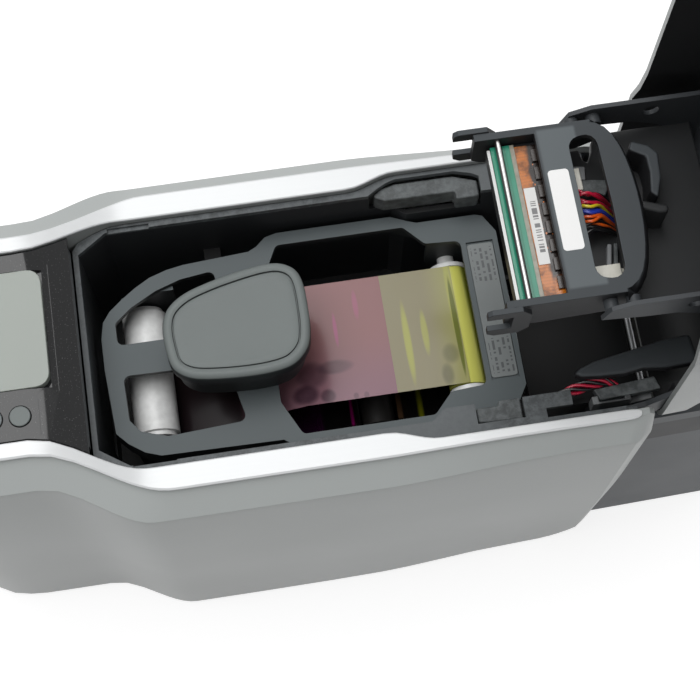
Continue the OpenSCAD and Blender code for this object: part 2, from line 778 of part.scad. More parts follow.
module head_flex() {
    color([0.75, 0.43, 0.1]) block([72.4, -33, 297], [84, 33, 298.5]);
}

module head_chips() {
    color([0.1, 0.07, 0.05]) for (i = [0:7]) block([78.6, -31 + 8 * i, 298.5], [81.4, -25.5 + 8 * i, 299.7]);
}

module head_label() {
    color([0.9, 0.9, 0.88]) block([72.8, -19.6, 298.5], [77.4, 14, 298.8]);
}

module bracket_label() {
    color([0.95, 0.95, 0.95]) translate([0, 0, bracket_z]) linear_extrude(0.25)
        polygon(rounded(box_outline(82.5, 91, -17.6, 17.6), 1.5));
}

module head_connector() {
    color([0.85, 0.84, 0.78]) {
        block([78, -28, 284], [88, 26, 289.5]);
        block([88, 14, 284], [99, 24, 289.5]);
        block([88, -28, 284], [107, -20, 289.5]);
    }
}

// Strands between the head connector and the lid, spread by the given steps
module head_wires(y, sag, count, tint) {
    color(tint) for (i = [0:count - 1]) let (w = y - strand_pitch * i)
        wire([[88, w, 287], [92, w, 287], [100, w - 1, 289 - sag / 2], [110, w - 3, 288 - sag],
            [128, w - 3, 284 - sag], [carrier_x - 6, w, 280], [carrier_x - 0.1, w, 280]], strand_r);
}

module head_wires_red() { head_wires(12, 3, 3, [0.75, 0.08, 0.15]); }

module head_wires_yellow() { head_wires(12 - 3 * strand_pitch, 1, 1, [0.85, 0.75, 0.1]); }

module head_wires_blue() { head_wires(12 - 4 * strand_pitch, 2, 2, [0.1, 0.2, 0.7]); }

module head_wires_orange() { head_wires(12 - 6 * strand_pitch, 0, 2, [0.9, 0.35, 0.05]); }

module head_wires_black() { head_wires(12 - 8 * strand_pitch, 2, 3, [0.05, 0.05, 0.05]); }

// Strands from the latch block to the clip at the rear of the bay
module latch_wires(lift, tint) {
    color(tint) for (i = [0:1])
        let (w = -54 + 2.4 * i)
        wire([[latch_near_x + 20, w, 208.5 + lift], [82, w, 208.5 + lift], [90, w + 0.6, 210 + lift],
            [96, w, 208 + lift], [clip_x - 0.1, w, 208 + lift]], strand_r);
}

module latch_wires_red() { latch_wires(1.3, [0.75, 0.08, 0.2]); }

module latch_wires_black() { latch_wires(-1.3, [0.05, 0.05, 0.05]); }

// ---- Ribbon cartridge ----

module cartridge_plan() {
    polygon([[-113, 12], [-111.5, 20], [-108, 25], [-102, 30], [-95, 35], [-88, 39], [-80, 41.6], [-72, 43], [-41, 45],
        [-37, 47], [-32.5, 51], [-27, 52.4], [27, 52.4], [35, 49], [39, 47.6], [66.5, 47.6], [70, 46.5], [75, 38],
        [75, -38], [70, -46.5], [66.5, -47.6], [39, -47.6], [35, -49], [27, -52.4], [-27, -52.4], [-32.5, -51],
        [-37, -47.5], [-92, -46.5], [-99, -44], [-106, -39], [-111, -33.5], [-112, -18], [-113, -3]]);
}

module cartridge_windows() {
    polygon(rounded([[-36, -30], [-28, -46.2], [32, -46.2], [41, -36.5], [57.5, -35.5], [57.5, 35.5], [41, 36.5],
        [32, 46.2], [-28, 46.2], [-36, 30]], 3));
    polygon(rounded([[-106, 8], [-106, 19], [-98, 25.5], [-86, 32], [-74, 36], [-58, 38], [-58, 8]], 3));
    polygon(rounded([[-105, -7], [-58, -8], [-52, -36], [-88, -38], [-100, -34], [-104.5, -28]], 3));
}

module takeup_cheek(y) {
    side_plate([[-94, frame_top - frame_t], [-103, 190], [-103, 168], [-86, 166], [-78, 172], [-78, frame_top - frame_t]],
        y, y + 1.8);
}

module cartridge_frame() {
    color([0.47, 0.5, 0.5])
    difference() {
        union() {
            difference() {
                translate([0, 0, frame_top - frame_depth]) linear_extrude(frame_depth) cartridge_plan();
                translate([0, 0, frame_top - frame_depth - 1]) linear_extrude(frame_depth - frame_t + 1)
                    offset(delta = -2.2) cartridge_plan();
                translate([0, 0, frame_top - frame_depth - 1]) linear_extrude(frame_depth + 2) cartridge_windows();
            }
            // Cheeks that hold both spools
            takeup_cheek(32.6);
            takeup_cheek(-40.4);
            both_sides() {
                side_plate([[60, frame_top - frame_t], [60, 172], [54, 168], [46, 168], [42, 176], [42, frame_top - frame_t]], 36.8, 39);
            }
        }
        rod_y(takeup_x, takeup_z, -50, 50, spindle_r + run_gap);
        rod_y(supply_x, supply_z, -50, 50, spindle_r + run_gap);
        block([60, -34, frame_top - 1.2], [72.6, 34, frame_top + 1]);
    }
}

// Grip of the cartridge with a raised border
module handle_pad() {
    function pad(w) = rounded([[-84 - w, -12 - w / 2], [-18 + w, -25 - w], [-18 + w, 25 + w], [-84 - w, 12 + w / 2]], 9 + w, 6);
    color([0.5, 0.52, 0.52]) {
        translate([0, 0, frame_top]) linear_extrude(pad_top - 2 - frame_top) polygon(pad(-2));
        translate([0, 0, pad_top - 10]) linear_extrude(8) difference() {
            polygon(pad(0));
            polygon(pad(-2));
        }
        translate([0, 0, pad_top - 2]) linear_extrude(2) difference() {
            polygon(pad(-1));
            polygon(pad(-5.5));
        }
    }
}

// Film stretched between x0 and x1, bending down to the take-up core in front
module film(x0, x1) {
    side = x0 > -30
        ? [[x0, film_z - film_t], [x1, film_z - film_t], [x1, film_z], [x0, film_z]]
        : [[takeup_x, takeup_z - takeup_r - 1.2 - film_t], [-24, film_z - film_t], [x1, film_z - film_t],
            [x1, film_z], [-24, film_z], [takeup_x, takeup_z - takeup_r - 1.2]];
    side_plate(side, -film_w / 2, film_w / 2);
}

module film_magenta() { color([0.6, 0.42, 0.44, 0.9]) film(-60, 18); }

module film_yellow() { color([0.6, 0.56, 0.42, 0.9]) film(18, supply_x); }

module cartridge_tag() {
    color([0.55, 0.57, 0.57])
    translate([0, 0, frame_top - 1.2]) linear_extrude(0.8) polygon(rounded(box_outline(60.2, 72.4, -33, 33), 1.5));
}

module spindle(x, z, near, far) {
    rod_y(x, z, -near, far, spindle_r);
    both_sides() rod_y(x, z, film_w / 2 + 0.4, film_w / 2 + 2.6, spindle_r + 5);
}

module supply_spool() {
    color([0.85, 0.85, 0.83]) spindle(supply_x, supply_z, 39.6, 39.6);
}

module supply_roll() {
    color([0.8, 0.8, 0.25]) difference() {
        rod_y(supply_x, supply_z, -film_w / 2, film_w / 2, supply_r);
        rod_y(supply_x, supply_z, -film_w, film_w, spindle_r);
    }
}

module takeup_core() {
    color([0.9, 0.9, 0.9]) {
        spindle(takeup_x, takeup_z, 41, 35);
        rod_y(takeup_x, takeup_z, -film_w / 2 - 0.4, film_w / 2 + 0.4, takeup_r);
    }
}

// ---- Rollers, door and buttons ----

module roller(x, z, r, half, shaft_half) {
    rod_y(x, z, -half, half, r);
    rod_y(x, z, -shaft_half, shaft_half, shaft_r);
}

module platen_roller() {
    color([0.12, 0.12, 0.12]) {
        roller(head_x, platen_z, platen_r, 31.5, arm_y + 6.2);
        both_sides() rod_y(head_x, platen_z, arm_y + 3.4, arm_y + 5.8, bearing_r);
    }
}

module feed_roller() {
    color([0.5, 0.5, 0.52]) roller(feed_x, platen_z, platen_r, 31.5, 37.5);
}

module rear_roller() {
    color([0.14, 0.13, 0.12]) roller(rear_roller_x, rear_roller_z, 7, bay_rear_half - 14, bay_rear_half - 6);
}

module hopper_door() {
    color([0.1, 0.1, 0.11]) {
        difference() {
            block([front_x + 0.5, -door_half, door_z], [front_x + 3.5, door_half, door_top]);
            block([front_x, -10, door_top - 4], [front_x + 4, 10, door_top + 1]);
        }
        rod_y(front_x + 4, door_z + 3.2, -door_half, door_half, 3);
        rod_y(front_x + 4, door_z + 3.2, -door_half - 3, door_half + 3, 2);
    }
}

module panel_button(i, tint) {
    color(tint) {
        translate([button_xs[i], button_y, panel_flat - 4.4]) cylinder(r = button_r, h = 5.2);
        translate([button_xs[i], button_y, panel_flat - 4.4]) cylinder(r = button_r + 1.2, h = 1.2);
    }
}

module menu_button() { panel_button(0, [0.5, 0.52, 0.52]); }

module up_button() { panel_button(1, [0.5, 0.52, 0.52]); }

module down_button() { panel_button(2, [0.5, 0.52, 0.52]); }

module power_button() {
    color([0.5, 0.52, 0.52]) translate([rear_x - 5, -28, 74]) rotate([0, 90, 0]) {
        cylinder(r = power_r, h = 5);
        cylinder(r = power_r + 1.2, h = 5 - housing_wall);
    }
}

base_housing();
side_panel_near();
side_panel_far();
rim_trim_near();
rim_trim_far();
inner_tub();
inner_deck();
front_bezel();
front_fascia();
screen();
hopper_frame();
rear_housing();
power_inlet();
data_sockets();
feet();
screws();
hinge_pins();
latch_block_far();
latch_block_near();
card_guides();
card_path_plate();
rear_bar();
cable_clip();
latch_wires_red();
latch_wires_black();
lid_shell();
lid_hinge_arms();
head_carrier();
head_bracket();
head_heat_sink();
head_board();
head_edge_rail();
head_guard_rod();
head_flex();
head_chips();
head_label();
bracket_label();
head_connector();
head_wires_red();
head_wires_yellow();
head_wires_blue();
head_wires_orange();
head_wires_black();
lid_button();
cartridge_frame();
handle_pad();
film_magenta();
film_yellow();
cartridge_tag();
supply_spool();
supply_roll();
takeup_core();
platen_roller();
feed_roller();
rear_roller();
hopper_door();
menu_button();
up_button();
down_button();
power_button();
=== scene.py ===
"""A desktop ID card printer with its lid open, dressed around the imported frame."""
import json
import math

import bpy
from mathutils import Matrix, Vector


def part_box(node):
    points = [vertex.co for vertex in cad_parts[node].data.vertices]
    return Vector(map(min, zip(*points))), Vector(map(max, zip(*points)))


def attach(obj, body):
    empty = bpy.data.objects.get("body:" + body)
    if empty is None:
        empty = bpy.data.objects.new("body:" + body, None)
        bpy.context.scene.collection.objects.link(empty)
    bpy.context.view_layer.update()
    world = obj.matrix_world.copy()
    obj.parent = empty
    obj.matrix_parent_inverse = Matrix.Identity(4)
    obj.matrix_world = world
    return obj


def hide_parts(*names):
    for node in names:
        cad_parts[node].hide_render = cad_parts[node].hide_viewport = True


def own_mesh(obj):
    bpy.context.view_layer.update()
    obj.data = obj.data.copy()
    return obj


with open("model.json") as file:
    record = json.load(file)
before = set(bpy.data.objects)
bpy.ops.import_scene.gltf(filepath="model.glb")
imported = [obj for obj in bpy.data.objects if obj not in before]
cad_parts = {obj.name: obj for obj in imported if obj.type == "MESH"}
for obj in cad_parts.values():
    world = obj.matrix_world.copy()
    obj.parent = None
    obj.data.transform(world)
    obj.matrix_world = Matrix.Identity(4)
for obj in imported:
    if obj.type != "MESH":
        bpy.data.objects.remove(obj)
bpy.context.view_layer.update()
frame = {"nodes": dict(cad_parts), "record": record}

MM = 0.001


# ---- Camera ----

IMAGE_PX = 700
FOCAL_PX = 1569
SENSOR_MM = 36
# Direction from the target to the camera, and the camera's turn about its own axis
VIEW_AZIMUTH = math.radians(-9.2)
VIEW_ELEVATION = math.radians(71.1)
VIEW_ROLL = math.radians(0.465)
# The middle of the printer at the height of its rims, and its distance along the view
VIEW_TARGET = Vector((0, 0, 225)) * MM
VIEW_DEPTH = 695.2 * MM
# How far the target is seen above the middle of the view
TARGET_RAISED_PX = 40
CLIP_NEAR = 0.05
CLIP_FAR = 20


def add_camera():
    """The camera looks down on the printer from its near side."""
    flat = math.cos(VIEW_ELEVATION)
    back = Vector((
        math.sin(VIEW_AZIMUTH) * flat,
        -math.cos(VIEW_AZIMUTH) * flat,
        math.sin(VIEW_ELEVATION),
    ))
    level = Vector((math.cos(VIEW_AZIMUTH), math.sin(VIEW_AZIMUTH), 0))
    above = back.cross(level)
    right = level * math.cos(VIEW_ROLL) + above * math.sin(VIEW_ROLL)
    up = back.cross(right)
    place = VIEW_TARGET + back * VIEW_DEPTH - up * (TARGET_RAISED_PX / FOCAL_PX * VIEW_DEPTH)
    data = bpy.data.cameras.new("camera")
    data.sensor_width = SENSOR_MM
    data.lens = FOCAL_PX / IMAGE_PX * SENSOR_MM
    data.clip_start = CLIP_NEAR
    data.clip_end = CLIP_FAR
    camera = bpy.data.objects.new("camera", data)
    bpy.context.scene.collection.objects.link(camera)
    axes = Matrix((right, up, back)).transposed().to_4x4()
    camera.matrix_world = Matrix.Translation(place) @ axes
    bpy.context.scene.camera = camera


# ---- Shader tools ----

class Value:
    """A shader socket that makes Math nodes when it is used in an expression."""

    def __init__(self, tree, socket):
        self.tree = tree
        self.socket = socket

    def join(self, operation, first, second=0.0):
        """One Math node over two sockets or numbers."""
        node = self.tree.nodes.new("ShaderNodeMath")
        node.operation = operation
        for value, socket in zip((first, second), node.inputs):
            if isinstance(value, Value):
                self.tree.links.new(value.socket, socket)
            else:
                socket.default_value = value
        return Value(self.tree, node.outputs[0])

    def __add__(self, other):
        return self.join("ADD", self, other)

    def __sub__(self, other):
        return self.join("SUBTRACT", self, other)

    def __mul__(self, other):
        return self.join("MULTIPLY", self, other)

    def __truediv__(self, other):
        return self.join("DIVIDE", self, other)

    def __gt__(self, other):
        return self.join("GREATER_THAN", self, other)

    def __lt__(self, other):
        return self.join("LESS_THAN", self, other)

    def abs(self):
        return self.join("ABSOLUTE", self)

    def fraction(self):
        return self.join("FRACT", self)

    def floor(self):
        return self.join("FLOOR", self)

    def least(self, other):
        return self.join("MINIMUM", self, other)

    def within(self, low, high):
        """Is 1 between two places given in millimetres."""
        return (self > low * MM) * (self < high * MM)


def tone(red, green, blue):
    """A colour given in 0 to 255, as linear light."""
    def linear(level):
        share = level / 255
        return share / 12.92 if share <= 0.04045 else ((share + 0.055) / 1.055) ** 2.4
    return (linear(red), linear(green), linear(blue), 1.0)


def shade(colour, factor):
    """A lighter or darker copy of a colour."""
    return tuple(min(1.0, part * factor) for part in colour[:3]) + (1.0,)


class Finish:
    """One material, built around a Principled shader."""

    def __init__(self, name, colour, roughness, **constants):
        self.name = name
        self.material = bpy.data.materials.new(name)
        self.material.use_nodes = True
        self.tree = self.material.node_tree
        self.shader = self.tree.nodes["Principled BSDF"]
        self.shader.inputs["Base Color"].default_value = colour
        self.shader.inputs["Roughness"].default_value = roughness
        for key, value in constants.items():
            self.shader.inputs[key.replace("_", " ")].default_value = value

    def node(self, kind, settings=None, sockets=None, output=0):
        """Adds a node with its settings and the values or links of its sockets; gives one output."""
        made = self.tree.nodes.new(kind)
        for key, value in (settings or {}).items():
            setattr(made, key, value)
        for key, value in (sockets or {}).items():
            if isinstance(value, Value):
                self.tree.links.new(value.socket, made.inputs[key])
            else:
                made.inputs[key].default_value = value
        return Value(self.tree, made.outputs[output])

    def feed(self, name, value):
        self.tree.links.new(value.socket, self.shader.inputs[name])

    def place(self, stretch=(1, 1, 1)):
        """The object's own coordinates; a small stretch draws a pattern out along its axis."""
        coords = self.node("ShaderNodeTexCoord", output="Object")
        return self.node("ShaderNodeMapping", None, {"Vector": coords, "Scale": stretch})

    def axis(self, name, place=None):
        """One coordinate of the object, in metres, or one part of another vector."""
        return self.node("ShaderNodeSeparateXYZ", None, {0: place or self.place()}, output=name)

    def noise(self, scale, detail=2.0, stretch=(1, 1, 1), roughness=0.5):
        return self.node("ShaderNodeTexNoise", None, {
            "Vector": self.place(stretch), "Scale": scale, "Detail": detail, "Roughness": roughness})

    def cells(self, scale, stretch=(1, 1, 1)):
        return self.node("ShaderNodeTexVoronoi", None, {"Vector": self.place(stretch), "Scale": scale})

    def mix(self, factor, first, second):
        return self.node("ShaderNodeMix", {"data_type": "RGBA"}, {0: factor, 6: first, 7: second}, output=2)

    def shades(self, factor, colour, low, high):
        """Mixes two shades of one colour."""
        return self.mix(factor, shade(colour, low), shade(colour, high))

    def ramp(self, value, low, high):
        """Runs from 0 to 1 while value goes from low to high."""
        return self.node("ShaderNodeMapRange", {"interpolation_type": "SMOOTHSTEP"},
                         {"Value": value, "From Min": low, "From Max": high})

    def along(self, name, low, high):
        """Runs from 0 to 1 along an axis, between two places given in millimetres."""
        return self.ramp(self.axis(name), low * MM, high * MM)

    def patch(self, x0, x1, y0, y1, soft):
        """Is 1 inside a plan rectangle given in millimetres, with soft sides."""
        inside = 1.0
        for name, low, high in (("X", x0, x1), ("Y", y0, y1)):
            inside = self.along(name, low - soft, low + soft) * inside
            inside = self.along(name, high + soft, high - soft) * inside
        return inside

    def blob(self, x, y, wide, long, soft):
        """Is 1 inside a soft oval round x and y, in millimetres."""
        across = (self.axis("X") - x * MM) / (wide * MM)
        along = (self.axis("Y") - y * MM) / (long * MM)
        return self.ramp(across * across + along * along, 1 + soft, 1 - soft)

    def marked(self, body, marks, colour, soft, cloud=None):
        """Lays soft oval marks over a body colour; a cloud makes them uneven."""
        for spot, strength in marks:
            mask = self.blob(*spot, soft)
            if cloud:
                mask = (mask * cloud).least(1)
            body = self.mix(mask * strength, body, colour)
        return body

    def facing_up(self, low, high):
        """Runs from 0 to 1 as a face turns upwards, for the printer with its lid open."""
        normal = self.node("ShaderNodeTexCoord", output="Normal")
        return self.ramp(self.axis("Z", normal), low, high)

    def bump(self, height, strength, depth):
        """Raises a pattern in the surface, by a depth given in millimetres."""
        self.feed("Normal", self.node("ShaderNodeBump", None,
                                      {"Strength": strength, "Distance": depth * MM, "Height": height}))


# ---- Finishes ----

def moulded_skin(made, colour, roughness):
    """Gives a finish a fine grain and a cloudy gloss, and returns its cloudy colour."""
    cloud = made.noise(34, detail=4)
    grain = made.noise(2600)
    made.feed("Roughness", cloud * 0.14 + (roughness - 0.07) + grain * 0.05)
    made.bump(grain, 0.1, 0.05)
    return made.shades(cloud, colour, 0.9, 1.1)


def speckled_skin(made, colour, roughness):
    """The moulded skin, with sparse pale specks in its colour."""
    specks = made.ramp(made.noise(1500, detail=1), 0.66, 0.74)
    return made.mix(specks * 0.25, moulded_skin(made, colour, roughness), shade(colour, 1.6))


def moulded(name, colour, roughness, **constants):
    """Moulded plastic: a fine spark texture, with faint cloudy wear in its colour and gloss."""
    made = Finish(name, colour, roughness, Specular_IOR_Level=0.25, **constants)
    made.feed("Base Color", speckled_skin(made, colour, roughness))
    return made


def satin_paint(name, colour):
    """Satin silver paint with a fine flake, with a painted highlight where it looks up and painted shade
    towards the foot.
    """
    made = Finish(name, colour, 0.4, Metallic=0.1, Specular_IOR_Level=0.4,
                  Coat_Weight=0.05, Coat_Roughness=0.3)
    body = made.shades(made.cells(2400), colour, 0.95, 1.05)
    # Painted highlight: faces that look up, such as the top bevel, are made paler.
    body = made.mix(made.facing_up(0.15, 0.5) * 0.75, body, shade(colour, 1.3))
    # Painted shade: the paint is made darker towards the foot.
    foot = made.along("Z", 190, 0)
    made.feed("Base Color", made.mix(foot * 0.6, body, shade(colour, 0.7)))
    made.feed("Roughness", made.noise(14, detail=3) * 0.08 + 0.33)
    made.bump(made.noise(900, detail=3), 0.03, 0.05)
    return made


def rim_silver(name, colour):
    """Bright rim strip with faint lengthwise brushing."""
    made = Finish(name, colour, 0.3, Metallic=0.08, Specular_IOR_Level=0.3,
                  Coat_Weight=0.08, Coat_Roughness=0.12)
    brush = made.noise(420, detail=3, stretch=(0.03, 1, 1))
    made.feed("Base Color", made.shades(brush, colour, 0.93, 1))
    made.feed("Roughness", brush * 0.12 + 0.25)
    made.bump(brush, 0.04, 0.04)
    return made


def piano_black(name, colour):
    """Polished black with faint smears and dust."""
    made = Finish(name, colour, 0.1, Specular_IOR_Level=0.28, Coat_Weight=0.2, Coat_Roughness=0.04)
    smear = made.ramp(made.noise(26, detail=4, stretch=(1, 0.4, 1)), 0.45, 0.8)
    dust = made.ramp(made.noise(1900, detail=0), 0.74, 0.78)
    made.feed("Base Color", made.mix(dust * 0.3, colour, tone(120, 120, 120)))
    made.feed("Roughness", smear * 0.12 + 0.06)
    made.bump(made.noise(60, detail=1), 0.02, 0.05)
    return made


def display_panel(name, colour):
    """Grey display behind a clear hard cover, with faint wipe marks."""
    made = Finish(name, colour, 0.16, Specular_IOR_Level=0.3, Coat_Weight=0.2, Coat_Roughness=0.04)
    made.feed("Base Color", made.shades(made.noise(18), colour, 0.93, 1.07))
    made.feed("Roughness", made.noise(60, detail=3) * 0.08 + 0.12)
    made.bump(made.noise(90, detail=1), 0.03, 0.03)
    return made


def rod_with_painted_light(name, colour):
    """Drawn steel rod, with a painted highlight along its top and painted shade on its flanks."""
    made = Finish(name, colour, 0.34, Metallic=0.7)
    marks = made.noise(300, stretch=(1, 0.1, 1))
    top = made.shades(marks, colour, 0.9, 1)
    # Painted light: a highlight on faces that look up, and near-black flanks as painted shade.
    made.feed("Base Color", made.mix(made.facing_up(0.75, 0.97), shade(colour, 0.08), top))
    made.feed("Roughness", marks * 0.12 + 0.3)
    made.bump(marks, 0.03, 0.02)
    return made


def turned_steel(name, colour):
    """Steel rods and pins with fine marks round them."""
    made = Finish(name, colour, 0.26, Metallic=1.0)
    marks = made.noise(700, detail=3, stretch=(0.15, 2.5, 0.15))
    made.feed("Base Color", made.shades(marks, colour, 0.86, 1))
    made.feed("Roughness", marks * 0.16 + 0.2)
    made.bump(marks, 0.05, 0.03)
    return made


def roller_rubber(name, colour):
    """Ground rubber with fine lengthwise wear."""
    made = Finish(name, colour, 0.62)
    wear = made.noise(240, detail=4, stretch=(1, 0.12, 1))
    made.feed("Base Color", made.shades(wear, colour, 0.7, 1.5))
    made.feed("Roughness", wear * 0.2 + 0.5)
    made.bump(made.noise(2800, detail=1), 0.2, 0.04)
    return made


def mottled_grey(name, colour):
    """Mineral-filled plastic with a mottled skin."""
    made = Finish(name, colour, 0.5, Specular_IOR_Level=0.25)
    veins = made.noise(210, detail=5, roughness=0.7)
    mottle = made.ramp(veins, 0.35, 0.68)
    made.feed("Base Color", made.shades(mottle, colour, 0.62, 1.35))
    made.feed("Roughness", mottle * 0.2 + 0.38)
    made.bump(veins, 0.25, 0.08)
    return made


def film_base(name, colour):
    """Dye film: thin and glossy, with soft broad streaks across it."""
    made = Finish(name, colour, 0.2, Specular_IOR_Level=0.22, Coat_Weight=0.04, Coat_Roughness=0.08)
    made.feed("Roughness", made.noise(95, stretch=(1, 0.1, 1)) * 0.1 + 0.16)
    made.bump(made.noise(70, detail=1, stretch=(1, 0.16, 1)), 0.08, 0.25)
    broad = made.noise(30, detail=1, stretch=(1, 0.3, 1))
    return made, made.shades(broad, colour, 0.9, 1.1)


# Marks on the film: x, y, half width and half length in millimetres, and how strong each is
PINK_CREASES = (((-6, 5.5, 0.9, 7.5), 0.5), ((5, 16.5, 1.2, 6.5), 0.3))
DARK_SPOTS = (
    ((-9, -12.5, 8, 3.2), 0.65), ((-20, -15, 7, 6), 0.7), ((-24, -24, 6, 4.5), 0.95),
    ((-14, -26, 3.4, 3.2), 0.9), ((-1.2, -27.8, 1.2, 1.5), 0.6), ((3.6, -28, 1.2, 1.5), 0.5),
)
# Painted highlights: pale yellow streaks along the film and on the roll.
YELLOW_HIGHLIGHT_STREAKS = (((26.6, -6, 1.6, 18), 0.7), ((35.2, -2, 1.5, 10), 0.6), ((50.2, 14, 1.6, 22), 0.6))
OLIVE_SMEARS = (((45.5, -14, 3.6, 4.5), 0.4), ((42.5, -24, 2.6, 5), 0.45))
ROLL_FOLD = (((50.4, -1, 1.2, 24), 0.9),)


def magenta_film(name, colour):
    """Magenta panel with pink creases, dark cloudy spots at its near front corner, and painted shade where
    it runs under the pad.
    """
    made, body = film_base(name, colour)
    body = made.mix(made.along("Y", 6, -30), body, tone(136, 98, 110))
    body = made.marked(body, PINK_CREASES, tone(190, 84, 146), 0.8)
    # Painted shade where the film runs down under the pad.
    shade_under_pad = made.along("X", -46, -56)
    body = made.mix(shade_under_pad * 0.97, body, tone(16, 12, 14))
    cloud = made.noise(160, detail=3) * 0.5 + 0.55
    made.feed("Base Color", made.marked(body, DARK_SPOTS, tone(56, 34, 48), 0.6, cloud))
    return made


def yellow_film(name, colour):
    """Yellow panel: olive where it is thin, with painted highlights as pale yellow streaks, and a fold at
    the roll.
    """
    made, body = film_base(name, colour)
    body = made.mix(made.along("X", 36, 52) * 0.55, body, tone(168, 168, 88))
    body = made.marked(body, YELLOW_HIGHLIGHT_STREAKS, tone(178, 180, 84), 0.7)
    body = made.marked(body, OLIVE_SMEARS, tone(48, 48, 38), 0.8)
    made.feed("Base Color", made.marked(body, ROLL_FOLD, tone(92, 100, 10), 0.3))
    return made


def wound_roll(name, colour):
    """Film wound on its core, with painted shade in darker green where it turns away."""
    made = Finish(name, colour, 0.24, Specular_IOR_Level=0.3, Coat_Weight=0.1, Coat_Roughness=0.08)
    bands = made.noise(60, stretch=(0.5, 0.12, 2.2))
    body = made.mix(made.ramp(bands, 0.3, 0.62), tone(196, 198, 84), colour)
    # Painted shade on the side of the roll that turns away.
    turned_away_shade = made.ramp(made.axis("X") + made.axis("Y") * 0.03, 57.2 * MM, 59.4 * MM)
    made.feed("Base Color", made.mix(turned_away_shade * 0.85, body, tone(96, 106, 12)))
    made.feed("Roughness", bands * 0.1 + 0.18)
    made.bump(made.noise(520, detail=1, stretch=(1, 0.02, 1)), 0.05, 0.05)
    return made


# Painted reflections of the film on the card path: plan rectangle in millimetres, strength and colour
PAINTED_PATH_REFLECTIONS = (
    ((-31, -17, -32, 30), 0.75, tone(58, 10, 56)),
    ((-3.2, -2.3, -31, 12), 0.85, tone(186, 12, 132)),
    ((15.4, 21.6, -31, 30), 0.75, tone(98, 74, 52)),
    ((29.4, 31.6, -32, 20), 0.8, tone(132, 134, 20)),
)
# How soft the sides of painted rectangles are, in millimetres: the painted reflections and the bracket's
# plate
PATCH_SOFT = 0.8


def path_black(name, colour):
    """Polished card path, with painted reflections of the film over it."""
    made = Finish(name, colour, 0.1, Coat_Weight=0.6, Coat_Roughness=0.05)
    body = made.shades(made.noise(90), colour, 0.6, 1.6)
    for rectangle, strength, reflected_colour in PAINTED_PATH_REFLECTIONS:
        body = made.mix(made.patch(*rectangle, PATCH_SOFT) * strength, body, reflected_colour)
    made.feed("Base Color", body)
    made.feed("Roughness", made.noise(60, detail=3) * 0.12 + 0.06)
    made.bump(made.noise(40, detail=1), 0.02, 0.05)
    return made


# The flat plate of the head bracket, in millimetres: its plan, and a height just under its face
BRACKET_PLATE = (81.5, 97, -33.5, 36)
BRACKET_PLATE_Z = 303


def painted_facing_light(name, colour, flank, roughness, low, high, plate=None):
    """Moulded plastic with painted light: one tone on faces that look up and another on its flanks, as lit
    and shaded copies; a plate can have a third.
    """
    made = Finish(name, colour, roughness, Specular_IOR_Level=0.2)
    top = moulded_skin(made, colour, roughness)
    if plate:
        on_plate = made.patch(*BRACKET_PLATE, PATCH_SOFT) * (made.axis("Z") > BRACKET_PLATE_Z * MM)
        top = made.mix(on_plate, top, plate)
    # Painted light and shade: the tone follows the way a face looks, not the plastic.
    made.feed("Base Color", made.mix(made.facing_up(low, high), flank, top))
    return made


def ledge_plastic(name, colour):
    """Dark ledges, with a rough rocky skin that is worn paler in places."""
    made = Finish(name, colour, 0.5, Specular_IOR_Level=0.3)
    veins = made.noise(260, detail=6, roughness=0.72)
    wear = made.ramp(made.noise(30, detail=3), 0.42, 0.62)
    rough = made.shades(made.ramp(veins, 0.36, 0.66), colour, 0.62, 1.3)
    made.feed("Base Color", made.mix(wear * 0.7, rough, shade(colour, 1.18)))
    made.feed("Roughness", veins * 0.25 + 0.36)
    made.bump(veins, 0.2, 0.08)
    return made


# Marks on the cartridge's tag, in millimetres: pitch of the rows, pitch along a row, and where
# they lie across the tag and out from its middle
TAG_ROW = 2.4
TAG_MARK = 0.9
TAG_ROWS_X = (61.5, 71.2)
TAG_MARKS_Y = (14, 31)


def tag_plastic(name, colour):
    """Grey tag with rows of small plain marks that say nothing."""
    made = Finish(name, colour, 0.45)
    x, y = made.axis("X"), made.axis("Y")
    row = x / (TAG_ROW * MM)
    mark = (y / (TAG_MARK * MM)).floor()
    grid = made.node("ShaderNodeCombineXYZ", None, {"X": row.floor(), "Y": mark})
    chance = made.node("ShaderNodeTexWhiteNoise", {"noise_dimensions": "2D"}, {"Vector": grid})
    line = (row.fraction() > 0.3) * (row.fraction() < 0.78)
    inside = x.within(*TAG_ROWS_X) * y.abs().within(*TAG_MARKS_Y)
    body = made.shades(made.noise(60, detail=3), colour, 0.92, 1.08)
    made.feed("Base Color", made.mix(line * inside * (chance > 0.42) * 0.85, body, tone(62, 65, 67)))
    made.bump(made.noise(1800), 0.06, 0.03)
    return made


# Band of painted shade for a recessed groove on the rear housing's flanks, in millimetres: its lower and
# upper edge, and the distance from the middle where the flanks begin
BAND_LOWER_Z = (150.5, 152)
BAND_UPPER_Z = (178.5, 177)
FLANK_Y = (55, 56.5)


def rear_plastic(name, colour):
    """Rear housing, with painted shade in a dark band along its flanks, where a recessed groove runs."""
    made = Finish(name, colour, 0.5, Specular_IOR_Level=0.25)
    body = speckled_skin(made, colour, 0.5)
    flank = made.ramp(made.axis("Y").abs(), *(place * MM for place in FLANK_Y))
    # Painted shade: the groove's band is darkened on the flanks.
    groove_shade = made.along("Z", *BAND_LOWER_Z) * made.along("Z", *BAND_UPPER_Z)
    made.feed("Base Color", made.mix(flank * groove_shade, body, tone(26, 27, 29)))
    return made


